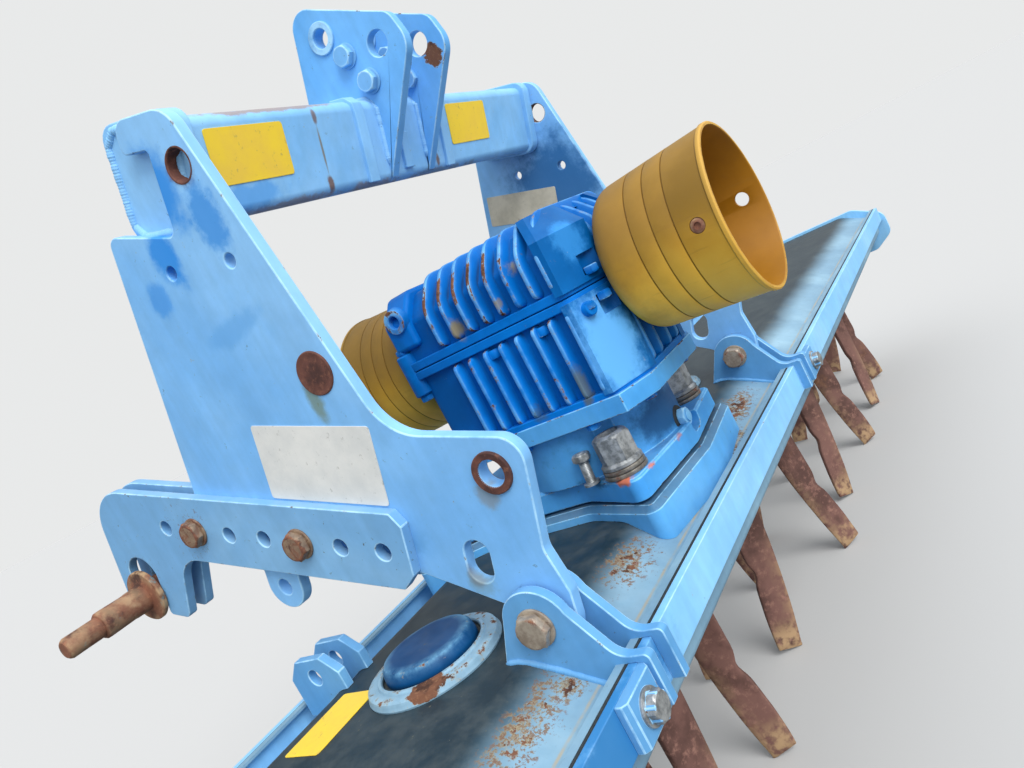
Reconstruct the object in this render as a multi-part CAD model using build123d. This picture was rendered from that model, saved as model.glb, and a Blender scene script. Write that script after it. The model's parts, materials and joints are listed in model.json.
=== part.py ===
# Mounted power harrow: gear trough with coupled tine rotors, hinged three-point headstock and
# a through-shaft gearbox. Millimetres. +X to the machine's right, +Y forward to the tractor,
# +Z up. It stands on its tine tips at z = 0, and the rotor axes lie in one upright plane.
from build123d import *
from math import atan2, cos, hypot, radians, sin
import os

# Rotors and tines
rotor_count = 14
rotor_spacing = 285.0
rotor_turns = (68.0, 24.0, 38.0, 50.0, 56.0, 40.0)   # of the tine pairs at rest, from +X, repeated along the trough
rotor_shaft_radius = 30.0
rotor_shaft_depth = 45.0    # how far a rotor shaft stands up in the trough
rotor_shaft_end_air = 1.0
running_clearance = 0.05
carrier_gap = 6.0           # air between trough and turning carrier
carrier_thickness = 30.0
carrier_hub_radius = 62.0
carrier_arm_width = 74.0
carrier_corner = 14.0
tine_length = 350.0
# Tine sections: share of the length down, radius from rotor axis, trail, width, thickness
tine_sections = (
    (0.00, 92.0, 0.0, 62.0, 16.0),
    (0.28, 96.0, 2.0, 64.0, 16.0),
    (0.62, 112.0, 14.0, 56.0, 14.0),
    (0.88, 124.0, 32.0, 42.0, 12.0),
    (1.00, 127.0, 41.0, 24.0, 9.0),
)

# Gear trough
trough_overhang = 140.0     # past the last rotor axis
trough_depth = 127.0
trough_half_top = 140.0     # half width of the flat top
trough_half_width = 238.0
trough_slope_drop = 44.0
trough_foot_chamfer = 30.0
trough_top_bend = 40.0
trough_shoulder_bend = 10.0
trough_foot_bend = 12.0
end_plate_thickness = 12.0
end_plate_margin = 13.0     # past the bars, front and rear
end_plate_drop = 26.0       # below the trough
end_plate_rise = 9.0        # above the trough
end_plate_foot = (60.0, 40.0)      # foot corner cut, along y and z
end_plate_shoulder = (90.0, 50.0)  # top corner cut, along y and z
end_plate_bends = (30.0, 40.0)     # corner radii, foot and top
end_hole_radius = 8.5
end_hole_pitch = (280.0, 60.0)   # along y, along z
end_hole_depth = 40.0       # tapped depth in the trough's end wall

# Implement bars along both long sides
bar_thickness = 10.0
bar_height = 46.0
bar_channel = 10.0          # gap between trough side and upright bar
bar_lip = 10.0
bar_rise = 26.0             # top edge above the trough shoulder

# Headstock hinge and the lugs on the trough
hinge_inset = 63.0          # hinge line inwards from the trough's rear side
lug_inset = 65.0            # front hole inwards from the trough's front side
hinge_above_trough = 33.0
headstock_lean = 18.8       # how far it leans back, front bolts out
hinge_radius = 12.0
ear_thickness = 12.0
ear_gap = 5.0               # air beside the headstock plate
ear_radius = 37.0
ear_front = (34.0, 14.0)    # where the front edge leaves the eye, forward and up from the hinge
ear_back = (36.0, 8.0)      # where the rear edge leaves the eye, rearward and up
ear_foot = 58.0             # foot's reach forward of the hinge
ear_sink = 14.0             # depth that the foot is cut from
ear_hook_cover = 7.0        # hook above the rear bar
ear_hook_out = 14.0         # hook behind the rear bar
ear_hook_in = 20.0
hook_shoulder = (16.0, 22.0)    # width of the hook's top and radius of the bend to the eye
hook_corner = 6.0
lug_half_length = 45.0
lug_rise = 24.0             # lug top above its hole
lug_sink = 50.0             # depth that the lug is cut from
lug_chamfer = 22.0
clamp_width = 58.0
clamp_thickness = 12.0
clamp_chamfer = 5.0
collar_air = 0.3            # between a pivot collar and the headstock plate

# Headstock side plates
plate_centre = 391.0        # from the machine's centre plane
plate_thickness = 15.0
rear_lobe_radius = 36.0
front_hole_drop = 12.0      # front hole below the hinge line
front_lobe_radius = 28.0
front_hole_radius = 10.5
bush_hole = (22.0, 149.0)
bush_radius = 13.5
bush_ring_radius = 19.5
bush_ring_height = 3.0
plate_slot = (61.0, 52.0)
plate_slot_size = (29.0, 47.0)
plate_edge = 12.0           # where the front lobe's front flank meets the foot, above the hinge line
plate_edge_rear = 24.0      # the same at its rear flank
# Outline of a side plate behind and above its front lobe: forward, up, corner radius
plate_outline = (
    (133.0, 31.0, 40.0), (33.0, 5.0, 8.0), (36.0, 0.0, 0.0), (-36.0, 0.0, 0.0), (-33.0, 30.0, 14.0),
    (-14.0, 72.0, 24.0), (-14.0, 184.0, 26.0), (134.0, 184.0, 62.0), (301.0, 522.0, 32.0),
    (380.0, 522.0, 16.0), (380.0, 488.0, 8.0), (341.0, 488.0, 6.0), (341.0, 401.0, 10.0),
    (450.0, 414.0, 12.0), (457.0, 60.0, 10.0), (430.0, 20.0, 14.0),
)
lobe_bend = 8.0
# Plain holes of a side plate: forward, up, radius
plate_holes = ((303.0, 467.0, 16.0), (365.0, 366.0, 7.5), (273.0, 370.0, 7.5))

# Lower link arms, a pair of cheeks on each side plate
arm_thickness = 13.0
arm_bottom = 17.5
arm_top = 105.0
arm_rear = 135.0
arm_rear_cut = (16.0, 18.0)  # lower rear corner, along and up
arm_top_cut = (12.0, 14.0)   # upper rear corner, along and down
arm_corner = 4.0
arm_hole_pitch = 58.0
arm_hole_radius = 10.0
arm_last_hole = (515.0, 60.0)
arm_hole_count = 7
arm_bolted = (1, 4)         # holes that hold a bolt, counted from the front
arm_bolt_radius = 12.0
hook_pin = (602.0, -45.0)
hook_slot_radius = 29.0
hook_slot_top = 9.0
hook_front = 656.0
hook_foot = -74.0
hook_neck = 94.0            # where the arm's lower edge turns down, behind the pin
hook_heel = 68.0            # the same at the hook's foot
hook_neck_bend = 44.0
hook_nose_bend = 62.0
hook_toe_rise = 12.0        # front leg shorter than the rear one
hook_bends = (10.0, 6.0, 5.0, 9.0)   # foot corners from the heel to the toe

# Lower link pins
pin_collar_radius = 36.0
pin_collar_thickness = 9.0
pin_root_radius = 18.3
pin_root_length = 66.0
pin_tip_radius = 14.0
pin_tip_length = 48.0

# Cross beam and top link plates
beam_rear = 318.0
beam_bottom = 406.0
beam_depth = 100.0
beam_height = 110.0
beam_corner = 14.0
top_plate_centre = 45.0
top_plate_thickness = 15.0
top_hole = (292.0, 578.0, 16.0)
top_hole_front = (379.0, 604.0, 12.5)
# Outline of a top link plate: forward, up, corner radius
top_plate_outline = (
    (318.0, 412.0, 0.0), (244.0, 572.0, 34.0), (266.0, 610.0, 22.0), (424.0, 652.0, 26.0),
    (432.0, 516.0, 0.0), (432.0, 470.0, 0.0), (340.0, 412.0, 0.0),
)
top_bolts = ((345.0, 574.0), (316.0, 537.0))
top_bolt_across = 27.0
top_bolt_radius = 9.0
top_bolt_head = 13.0
top_nut_height = 8.0

# Bolt sizes: across flats, head height
hinge_bolt_across = 32.0
hinge_bolt_head = 13.0
hinge_nut_height = 17.0
arm_bolt_across = 30.0
arm_bolt_head = 13.0
clamp_bolt_across = 24.0
clamp_bolt_head = 10.0
clamp_washer_radius = 16.0
clamp_washer_height = 3.0
arm_bolt_air = 1.0          # bolt to plate hole, all round
washer_radius = 23.0

# Gearbox on its pad; heights count from the trough top
flange_half_width = 165.0
flange_corner_y = 192.0
flange_tip_y = 211.0        # rear and front edges come to a shallow point
flange_waist = (105.0, 80.0)
flange_bend = 14.0
waist_bend = 40.0
pad_margin = 12.0           # pad past the flange, all round
pad_thickness = 19.0
pad_bevel = 8.0
base_gap = 4.0              # recessed seat between pad and flange
base_gap_inset = 9.0
base_thickness = 30.0
base_bevel = 3.0
wrench_notch = (28.0, 44.0, 50.0, 20.0)   # x, width, length, depth
notch_bend = 12.0
stud_x = 120.0
stud_y = 163.0
stud_across = 44.0
stud_nut_height = 44.0
stud_washer_radius = 29.0
stud_washer_height = 12.0
stud_pocket_air = 3.0       # round a washer, in the neck
neck_y = -78.0
neck_radius = 119.0
shaft_height = 278.0
box_half_width = 118.0
box_rear = -220.0
box_front = 64.0
box_bottom = 150.0
box_roof = 374.0
box_floor_thickness = 24.0
box_corner = 22.0
corner_cut = (52.0, 26.0)   # rear corners of the housing, along x and y
roof_chamfer = 33.0
fin_height = 14.0
fin_thickness = 9.0
fin_count = 8
fin_pitch = 26.5
fin_first = -2.0            # y of the foremost fin
fin_foot = 6.0              # fins end this far above the lower flange
panel_height = 12.0
split_band = 12.0           # plain band above and below the split
rear_fin_rows = (-48.0, -18.0, 18.0, 48.0)
side_plug = (50.0, 351.0, 17.0)   # y, height and radius of the round boss on each side

# Through shaft and its two guards
stub_radius = 17.4
journal_radius = 25.0
journal_out = 14.0
stub_length = 118.0
guard_wall = 4.0
guard_rim_radius = 105.0
guard_base_radius = 78.0
guard_shoulder_inset = 8.0  # shoulder's radius less than the rim's
guard_neck = 30.0           # length of the rounded base
guard_rear_length = 164.0
guard_front_length = 144.0
guard_shaft_hole = 32.0
guard_hole_radius = 9.0
guard_hole_inset = 34.0
guard_hole_angles = (20.0, 160.0)

# Round caps on the trough top
cap_ring_radius = 78.0
cap_ring_height = 10.0
cap_dome_radius = 58.0
cap_height = 26.0
cap_bevel = 5.0

# How far a cutting tool runs past the face that it cuts
cut_past = 1.0

# Worked out places
carrier_top = tine_length + carrier_thickness
trough_bottom = carrier_top + carrier_gap
trough_top = trough_bottom + trough_depth
hinge_y = hinge_inset - trough_half_width
hinge_z = trough_top + hinge_above_trough
lug_y = trough_half_width - lug_inset
lug_z = hinge_z - front_hole_drop
front_hole = (lug_y - hinge_y, -front_hole_drop)   # forward, up, from the hinge
trough_half_length = (rotor_count - 1) / 2 * rotor_spacing + trough_overhang
rotor_x = [(i - (rotor_count - 1) / 2) * rotor_spacing for i in range(rotor_count)]
shoulder_z = trough_top - trough_slope_drop
bar_inside = trough_half_width + bar_channel
bar_outside = bar_inside + bar_thickness
bar_top = shoulder_z + bar_rise
bar_bottom = bar_top - bar_height
plate_inner = plate_centre - plate_thickness / 2
plate_outer = plate_centre + plate_thickness / 2
ear_outer = plate_outer + ear_gap + ear_thickness
ear_inner = plate_inner - ear_gap - ear_thickness
base_low = trough_top + pad_thickness + base_gap
base_top = base_low + base_thickness
shaft_z = trough_top + shaft_height
box_low = trough_top + box_bottom
box_high = trough_top + box_roof
fin_side = box_half_width + fin_height
fin_rear = box_rear - fin_height
fin_front = box_front + fin_height
lean = Pos(0, hinge_y, hinge_z) * Rot(headstock_lean, 0, 0)


# Outlines and simple bodies

def rounded(corners):
    """Closed face through corners (a, b, radius), each rounded by a tangent arc."""
    ends = []
    count = len(corners)
    for i, (a, b, radius) in enumerate(corners):
        before = corners[i - 1]
        after = corners[(i + 1) % count]
        back = (before[0] - a, before[1] - b)
        ahead = (after[0] - a, after[1] - b)
        cross = back[0] * ahead[1] - back[1] * ahead[0]
        along = back[0] * ahead[0] + back[1] * ahead[1]
        half = abs(atan2(cross, along)) / 2
        if radius == 0:
            ends.append(((a, b), None, (a, b)))
            continue
        reach = radius * cos(half) / sin(half)
        u = (back[0] / hypot(*back), back[1] / hypot(*back))
        v = (ahead[0] / hypot(*ahead), ahead[1] / hypot(*ahead))
        middle = (u[0] + v[0], u[1] + v[1])
        depth = (radius / sin(half) - radius) / hypot(*middle)
        ends.append((
            (a + reach * u[0], b + reach * u[1]),
            (a + depth * middle[0], b + depth * middle[1]),
            (a + reach * v[0], b + reach * v[1]),
        ))
    edges = []
    for i, (start, middle, end) in enumerate(ends):
        if middle is not None:
            edges.append(ThreePointArc(start, middle, end))
        following = ends[(i + 1) % count][0]
        edges.append(Line(end, following))
    return make_face(Curve() + edges)


def slab(face, x_one, x_two):
    """The (y, z) face carried along X between two places."""
    body = extrude(Plane.YZ * face, amount=abs(x_two - x_one), dir=(1, 0, 0))
    return Pos(min(x_one, x_two), 0, 0) * body


def rod(shape, start, end):
    """A flat shape, such as a circle or hexagon, carried straight from start to end."""
    way = Vector(*end) - Vector(*start)
    return extrude(Plane(origin=start, z_dir=way.normalized()) * shape, amount=way.length, dir=way)


def hexagon(across):
    return RegularPolygon(radius=across / 2, side_count=6, major_radius=False)


# Trough, bars and end plates

def trough_section():
    half = (
        (trough_half_top, trough_top, trough_top_bend),
        (trough_half_width, shoulder_z, trough_shoulder_bend),
        (trough_half_width, trough_bottom + trough_foot_chamfer, trough_foot_bend),
        (trough_half_width - trough_foot_chamfer, trough_bottom, trough_foot_bend),
    )
    mirrored = [(-y, z, radius) for y, z, radius in reversed(half)]
    return rounded(list(half) + mirrored)


def bar_section(side):
    """Upright bar on a low lip that joins it to the trough's side."""
    bar_place = Pos(side * (bar_inside + bar_outside) / 2, (bar_top + bar_bottom) / 2)
    lip_place = Pos(side * (trough_half_width + bar_channel / 2), bar_bottom + bar_lip / 2)
    return bar_place * Rectangle(bar_thickness, bar_height) + lip_place * Rectangle(bar_channel, bar_lip)


def make_trough():
    body = slab(trough_section(), -trough_half_length, trough_half_length)
    for x in rotor_x:
        pocket = Circle(rotor_shaft_radius + running_clearance)
        top = (x, 0, trough_bottom + rotor_shaft_depth)
        body -= rod(pocket, (x, 0, trough_bottom - cut_past), top)
    for side in (-1, 1):
        for y, z in end_holes():
            end = side * trough_half_length
            body -= rod(Circle(end_hole_radius), (end, y, z), (end - side * end_hole_depth, y, z))
    return [body]


def make_bar(side):
    return [slab(bar_section(side), -trough_half_length, trough_half_length)]


def end_holes():
    """Places of the side shield bolts as (y, z)."""
    middle = (trough_top + trough_bottom) / 2
    half_y, half_z = end_hole_pitch[0] / 2, end_hole_pitch[1] / 2
    return [(y, middle + z) for y in (-half_y, half_y) for z in (-half_z, half_z)]


def make_end_plates():
    side_y = bar_outside + end_plate_margin
    low = trough_bottom - end_plate_drop
    high = trough_top + end_plate_rise
    foot_bend, top_bend = end_plate_bends
    right_half = (
        (side_y - end_plate_foot[0], low, foot_bend), (side_y, low + end_plate_foot[1], foot_bend),
        (side_y, high - end_plate_shoulder[1], top_bend), (side_y - end_plate_shoulder[0], high, top_bend),
    )
    mirrored = [(-y, z, radius) for y, z, radius in reversed(right_half)]
    outline = rounded(list(right_half) + mirrored)
    for y, z in end_holes():
        outline -= Pos(y, z) * Circle(end_hole_radius)
    inner = trough_half_length
    return [slab(outline, side * inner, side * (inner + end_plate_thickness)) for side in (-1, 1)]


# Ears and lugs that carry the headstock

def ear_section():
    """Rear ear: round eye, foot on the trough top, leg hooked over the rear bar."""
    bar_y = -bar_outside - hinge_y
    over = bar_top + ear_hook_cover - hinge_z
    foot = trough_top - ear_sink - hinge_z
    hook_low = bar_bottom - hinge_z
    hook_y = bar_y - ear_hook_out
    hook_width, hook_bend = hook_shoulder
    body = rounded((
        (*ear_front, 0.0), (ear_foot, -hinge_above_trough, 0.0), (ear_foot, foot, 0.0),
        (bar_y + ear_hook_in, hook_low, 0.0), (hook_y, hook_low, 0.0), (hook_y, over, hook_corner),
        (bar_y + hook_width, over, hook_bend), (-ear_back[0], ear_back[1], 0.0),
    ))
    ear = Pos(hinge_y, hinge_z) * (body + Circle(ear_radius))
    ear -= Pos(hinge_y, hinge_z) * Circle(hinge_radius + running_clearance)
    return ear - trough_section() - bar_section(-1)


def lug_section():
    """Front lug: low ear with chamfered shoulders and an empty hole."""
    shoulder = lug_rise - lug_chamfer
    flat = lug_half_length - lug_chamfer
    body = Polygon(
        (-lug_half_length, -lug_sink), (-lug_half_length, shoulder), (-flat, lug_rise),
        (flat, lug_rise), (lug_half_length, shoulder), (lug_half_length, -lug_sink), align=None,
    )
    lug = Pos(lug_y, lug_z) * (body - Circle(front_hole_radius))
    return lug - trough_section()


def cheek_pair(section, side):
    """The section as a pair of cheeks beside one headstock plate."""
    outer = slab(section, side * (plate_outer + ear_gap), side * ear_outer)
    inner = slab(section, side * (plate_inner - ear_gap), side * ear_inner)
    return [outer, inner]


def cross_bolt(side, spot, steps):
    """Bolt along X through spot (y, z): discs and hexagons (shape, x from, x to) on one side."""
    bolt = None
    for shape, x_from, x_to in steps:
        step = rod(shape, (side * x_from, *spot), (side * x_to, *spot))
        bolt = step if bolt is None else bolt + step
    return bolt


def make_hinge_bolts():
    """Pivot bolts, each with a head outside, a nut inside and two spacer collars."""
    nut_end = ear_inner - hinge_nut_height
    head_end = ear_outer + hinge_bolt_head
    steps = (
        (Circle(hinge_radius), nut_end, head_end),
        (hexagon(hinge_bolt_across), ear_outer, head_end),
        (hexagon(hinge_bolt_across), ear_inner, nut_end),
        (Circle(washer_radius), plate_outer + collar_air, plate_outer + ear_gap),
        (Circle(washer_radius), plate_inner - collar_air, plate_inner - ear_gap),
    )
    return [cross_bolt(side, (hinge_y, hinge_z), steps) for side in (-1, 1)]


def make_bar_clamps():
    """Clamp plates on the rear bar beside the outer ears, each with its bolt."""
    clamps = []
    middle = (bar_top + bar_bottom) / 2
    face = -bar_outside - clamp_thickness
    for side in (-1, 1):
        x = side * (ear_outer + clamp_width / 2)
        place = Pos(x, -bar_outside - clamp_thickness / 2, middle)
        plate = place * Box(clamp_width, clamp_thickness, bar_height)
        plate = chamfer(plate.edges().filter_by(Axis.Z).group_by(Axis.Y)[0], clamp_chamfer)
        head = face - clamp_washer_height
        plate += rod(Circle(clamp_washer_radius), (x, face, middle), (x, head, middle))
        plate += rod(hexagon(clamp_bolt_across), (x, head, middle), (x, head - clamp_bolt_head, middle))
        clamps.append(plate)
    return clamps


# Headstock, drawn upright from the hinge and then leaned back

def side_plate_corners():
    """The side plate's corners, with its front lobe placed from the front hole."""
    front = front_hole[0] + front_lobe_radius
    rear = front_hole[0] - front_lobe_radius
    lobe = (
        (front, plate_edge, lobe_bend), (front, -front_hole_drop, 0.0), (rear, -front_hole_drop, 0.0),
        (rear, plate_edge_rear, lobe_bend),
    )
    return lobe + plate_outline


def make_side_plate(side):
    face = rounded(side_plate_corners())
    face += Circle(rear_lobe_radius)
    face += Pos(*front_hole) * Circle(front_lobe_radius)
    for forward, up, radius in plate_holes:
        face -= Pos(forward, up) * Circle(radius)
    face -= Circle(hinge_radius + running_clearance)
    face -= Pos(*front_hole) * Circle(front_hole_radius)
    width, height = plate_slot_size
    face -= Pos(*plate_slot) * Rot(0, 0, 90) * SlotOverall(height, width)
    for forward, up in arm_holes():
        face -= Pos(forward, up) * Circle(arm_bolt_radius + arm_bolt_air)
    plate = slab(face, side * plate_inner, side * plate_outer)
    ring_face = plate_outer + bush_ring_height
    plate += slab(Pos(*bush_hole) * Circle(bush_ring_radius), side * plate_outer, side * ring_face)
    bore = Pos(*bush_hole) * Circle(bush_radius)
    plate -= slab(bore, side * (plate_inner - cut_past), side * (ring_face + cut_past))
    return [lean * plate]


def arm_holes():
    front, up = arm_last_hole
    return [(front - i * arm_hole_pitch, up) for i in range(arm_hole_count)]


def arm_face():
    """Cheek of a lower link arm: straight bar that ends in a downward hook."""
    slot_rear = hook_pin[0] - hook_slot_radius
    slot_front = hook_pin[0] + hook_slot_radius
    slot_middle = hook_slot_top - hook_slot_radius
    toe = hook_foot + hook_toe_rise
    heel_bend, heel_in_bend, toe_in_bend, toe_bend = hook_bends
    neck = hook_pin[0] - hook_neck
    heel = hook_pin[0] - hook_heel
    face = rounded((
        (arm_rear, arm_bottom + arm_rear_cut[1], 0.0), (arm_rear + arm_rear_cut[0], arm_bottom, arm_corner),
        (neck, arm_bottom, hook_neck_bend), (heel, hook_foot, heel_bend),
        (slot_rear, hook_foot, heel_in_bend), (slot_rear, slot_middle, 0.0), (slot_front, slot_middle, 0.0),
        (slot_front, toe, toe_in_bend), (hook_front, toe, toe_bend), (hook_front, arm_top, hook_nose_bend),
        (arm_rear + arm_top_cut[0], arm_top, arm_corner), (arm_rear, arm_top - arm_top_cut[1], 0.0),
    ))
    face -= Pos(hook_pin[0], slot_middle) * Circle(hook_slot_radius)
    for i, (forward, up) in enumerate(arm_holes()):
        radius = arm_bolt_radius + arm_bolt_air if i in arm_bolted else arm_hole_radius
        face -= Pos(forward, up) * Circle(radius)
    return face


def make_arm(side):
    outer = slab(arm_face(), side * plate_outer, side * (plate_outer + arm_thickness))
    inner = slab(arm_face(), side * plate_inner, side * (plate_inner - arm_thickness))
    return [lean * outer, lean * inner]


def make_arm_bolts():
    holes = arm_holes()
    outer = plate_outer + arm_thickness
    inner = plate_inner - arm_thickness
    steps = (
        (Circle(arm_bolt_radius), inner - arm_bolt_head, outer + arm_bolt_head),
        (hexagon(arm_bolt_across), outer, outer + arm_bolt_head),
        (hexagon(arm_bolt_across), inner, inner - arm_bolt_head),
    )
    return [lean * cross_bolt(side, holes[i], steps) for side in (-1, 1) for i in arm_bolted]


def make_link_pin(side):
    """Stepped pin: two collars clamp the hooks' cheeks, and the pin stands out to the side."""
    outer = plate_outer + arm_thickness
    inner = plate_inner - arm_thickness
    root_end = outer + pin_collar_thickness + pin_root_length
    steps = (
        (Circle(pin_root_radius), inner - pin_collar_thickness, root_end),
        (Circle(pin_collar_radius), outer, outer + pin_collar_thickness),
        (Circle(pin_collar_radius), inner, inner - pin_collar_thickness),
        (Circle(pin_tip_radius), root_end, root_end + pin_tip_length),
    )
    return [lean * cross_bolt(side, hook_pin, steps)]


def beam_face():
    middle = (beam_rear + beam_depth / 2, beam_bottom + beam_height / 2)
    return Pos(*middle) * RectangleRounded(beam_depth, beam_height, beam_corner)


def make_beam():
    return [lean * slab(beam_face(), -plate_inner, plate_inner)]


def make_top_plates():
    face = rounded(top_plate_outline) - beam_face()
    for forward, up, radius in (top_hole, top_hole_front):
        face -= Pos(forward, up) * Circle(radius)
    for forward, up in top_bolts:
        face -= Pos(forward, up) * Circle(top_bolt_radius)
    near = top_plate_centre - top_plate_thickness / 2
    far = top_plate_centre + top_plate_thickness / 2
    return [lean * slab(face, side * near, side * far) for side in (-1, 1)]


def make_top_bolts():
    near = top_plate_centre - top_plate_thickness / 2
    far = top_plate_centre + top_plate_thickness / 2
    steps = (
        (Circle(top_bolt_radius), near - top_nut_height, far + top_bolt_head),
        (hexagon(top_bolt_across), far, far + top_bolt_head),
        (hexagon(top_bolt_across), near, near - top_nut_height),
    )
    return [lean * cross_bolt(side, spot, steps) for side in (-1, 1) for spot in top_bolts]


# Gearbox

def flange_outline(grow):
    """Base outline from above: four ears, pointed ends and waisted sides, grown all round."""
    width = flange_half_width + grow
    corner_y = flange_corner_y + grow
    tip_y = flange_tip_y + grow
    waist_x, waist_y = flange_waist[0] + grow, flange_waist[1]
    return rounded((
        (0.0, tip_y, 0.0), (width, corner_y, flange_bend), (waist_x, waist_y, waist_bend),
        (waist_x, -waist_y, waist_bend), (width, -corner_y, flange_bend), (0.0, -tip_y, 0.0),
        (-width, -corner_y, flange_bend), (-waist_x, -waist_y, waist_bend), (-waist_x, waist_y, waist_bend),
        (-width, corner_y, flange_bend),
    ))


def make_pad():
    """Raised pad with a bevelled rim; its foot follows the trough's shoulders."""
    low = (0, 0, shoulder_z)
    pad = rod(flange_outline(pad_margin), low, (0, 0, trough_top + pad_thickness))
    pad = chamfer(pad.edges().group_by(Axis.Z)[-1], pad_bevel)
    width = flange_half_width + pad_margin + cut_past
    return [pad - slab(trough_section(), -width, width)]


def stud_places():
    return [(x, y) for x in (-stud_x, stud_x) for y in (-stud_y, stud_y)]


def make_gearbox_base():
    """Flange with a recessed seat, round neck and the floor plate under the housing."""
    seat = trough_top + pad_thickness
    base = rod(flange_outline(0), (0, 0, base_low), (0, 0, base_top))
    base = chamfer(base.edges().group_by(Axis.Z)[-1], base_bevel)
    notch_x, notch_width, notch_length, notch_depth = wrench_notch
    notch = Pos(notch_x, -flange_tip_y, base_top) * Box(notch_width, notch_length, 2 * notch_depth)
    base -= fillet(notch.edges().filter_by(Axis.Y).group_by(Axis.Z)[0], notch_bend)
    base += rod(flange_outline(-base_gap_inset), (0, 0, seat), (0, 0, base_low))
    floor_low = box_low - box_floor_thickness
    base += rod(Circle(neck_radius), (0, neck_y, base_top), (0, neck_y, floor_low))
    for x, y in stud_places():
        pocket = Circle(stud_washer_radius + stud_pocket_air)
        base -= rod(pocket, (x, y, base_top), (x, y, floor_low))
    return [base + rod(plan_outline(fin_height), (0, 0, floor_low), (0, 0, box_low))]


def plan_outline(grow):
    """Housing from above: rectangle with cut rear corners, grown all round."""
    width = box_half_width + grow
    rear, front = box_rear - grow, box_front + grow
    cut_x, cut_y = corner_cut
    return rounded((
        (width, front, box_corner), (width, rear + cut_y, 0.0), (width - cut_x, rear, 0.0),
        (cut_x - width, rear, 0.0), (-width, rear + cut_y, 0.0), (-width, front, box_corner),
    ))


def cross_slice(points, y, thickness):
    """An (x, z) outline carried forward from y by the thickness."""
    face = Plane(origin=(0, y, 0), x_dir=(1, 0, 0), z_dir=(0, -1, 0)) * Polygon(*points, align=None)
    return extrude(face, amount=thickness, dir=(0, 1, 0))


def housing_outline(low, high, grow, chamfered):
    """Section across the housing, grown by grow at the sides and on the roof."""
    width = box_half_width + grow
    if not chamfered:
        return ((-width, low), (-width, high), (width, high), (width, low))
    top = high + grow
    knee = top - roof_chamfer
    inset = width - roof_chamfer
    return ((-width, low), (-width, knee), (-inset, top), (inset, top), (width, knee), (width, low))


def make_housing(low, high, chamfered):
    """Cast housing half: core, band at the split, cross fins, corner panels and rear fins."""
    length = fin_front - fin_rear
    fin_low = low + split_band if chamfered else low + fin_foot
    fin_high = high if chamfered else high - split_band
    section = cross_slice(housing_outline(low, high, 0, chamfered), fin_rear, length)
    core = section & rod(plan_outline(0), (0, 0, low), (0, 0, high))
    fin_outline = housing_outline(fin_low, fin_high, fin_height, chamfered)
    for i in range(fin_count):
        core += cross_slice(fin_outline, fin_first - i * fin_pitch - fin_thickness, fin_thickness)
    panel_start = fin_first - fin_count * fin_pitch
    panel_outline = housing_outline(fin_low, fin_high, panel_height, chamfered)
    panel = cross_slice(panel_outline, fin_rear, panel_start - fin_rear)
    panel_top = high + panel_height if chamfered else fin_high
    panel &= rod(plan_outline(panel_height), (0, 0, fin_low), (0, 0, panel_top))
    recess = Box(2 * (fin_side - corner_cut[0]), 2 * fin_height, 2 * (high - low))
    core += panel - Pos(0, box_rear - fin_height, (low + high) / 2) * recess
    band_low = low if chamfered else fin_high
    band_high = fin_low if chamfered else high
    core += rod(plan_outline(fin_height), (0, 0, band_low), (0, 0, band_high))
    rear_high = high - roof_chamfer if chamfered else fin_high
    for x in rear_fin_rows:
        place = Pos(x, box_rear - fin_height / 2, (fin_low + rear_high) / 2)
        core += place * Box(fin_thickness, fin_height, rear_high - fin_low)
    if chamfered:
        plug_y, plug_up, plug_radius = side_plug
        for side in (-1, 1):
            start = (side * box_half_width, plug_y, trough_top + plug_up)
            core += rod(Circle(plug_radius), start, (side * fin_side, *start[1:]))
    tunnel = Circle(journal_radius + running_clearance)
    past = fin_height + cut_past
    return [core - rod(tunnel, (0, box_rear - past, shaft_z), (0, box_front + past, shaft_z))]


def make_studs():
    """Base nuts with their washers."""
    seat = base_top
    nut_low = seat + stud_washer_height
    studs = []
    for x, y in stud_places():
        stud = rod(Circle(stud_washer_radius), (x, y, seat), (x, y, nut_low))
        stud += rod(hexagon(stud_across), (x, y, nut_low), (x, y, nut_low + stud_nut_height))
        studs.append(stud)
    return studs


# Through shaft and guards

def make_shaft():
    rear_end = (0, fin_rear - journal_out, shaft_z)
    shaft = rod(Circle(journal_radius), rear_end, (0, fin_front + journal_out, shaft_z))
    for seat, way in ((fin_rear, -1), (fin_front, 1)):
        shaft += rod(Circle(stub_radius), (0, seat, shaft_z), (0, seat + way * stub_length, shaft_z))
    return [shaft]


def make_guard(way, length):
    """Cup round a shaft stub; way is -1 behind the gearbox and +1 in front of it."""
    seat = fin_rear if way < 0 else fin_front
    rim = seat + way * length
    shoulder = seat + way * guard_neck
    shoulder_in = shoulder + way * guard_wall / 2
    floor_in = seat + way * guard_wall
    shoulder_radius = guard_rim_radius - guard_shoulder_inset
    profile = Polygon(
        (seat, shaft_z + guard_shaft_hole), (seat, shaft_z + guard_base_radius),
        (shoulder, shaft_z + shoulder_radius), (rim, shaft_z + guard_rim_radius),
        (rim, shaft_z + guard_rim_radius - guard_wall), (shoulder_in, shaft_z + shoulder_radius - guard_wall),
        (floor_in, shaft_z + guard_base_radius - guard_wall), (floor_in, shaft_z + guard_shaft_hole),
        align=None,
    )
    cup = revolve(Plane.YZ * profile, axis=Axis((0, 0, shaft_z), (0, 1, 0)))
    hole_y = rim - way * guard_hole_inset
    inside = guard_shaft_hole
    outside = guard_rim_radius + guard_wall
    for angle in guard_hole_angles:
        across, up = cos(radians(angle)), sin(radians(angle))
        start = (inside * across, hole_y, shaft_z + inside * up)
        end = (outside * across, hole_y, shaft_z + outside * up)
        cup -= rod(Circle(guard_hole_radius), start, end)
    return [cup]


# Caps on the trough

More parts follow.
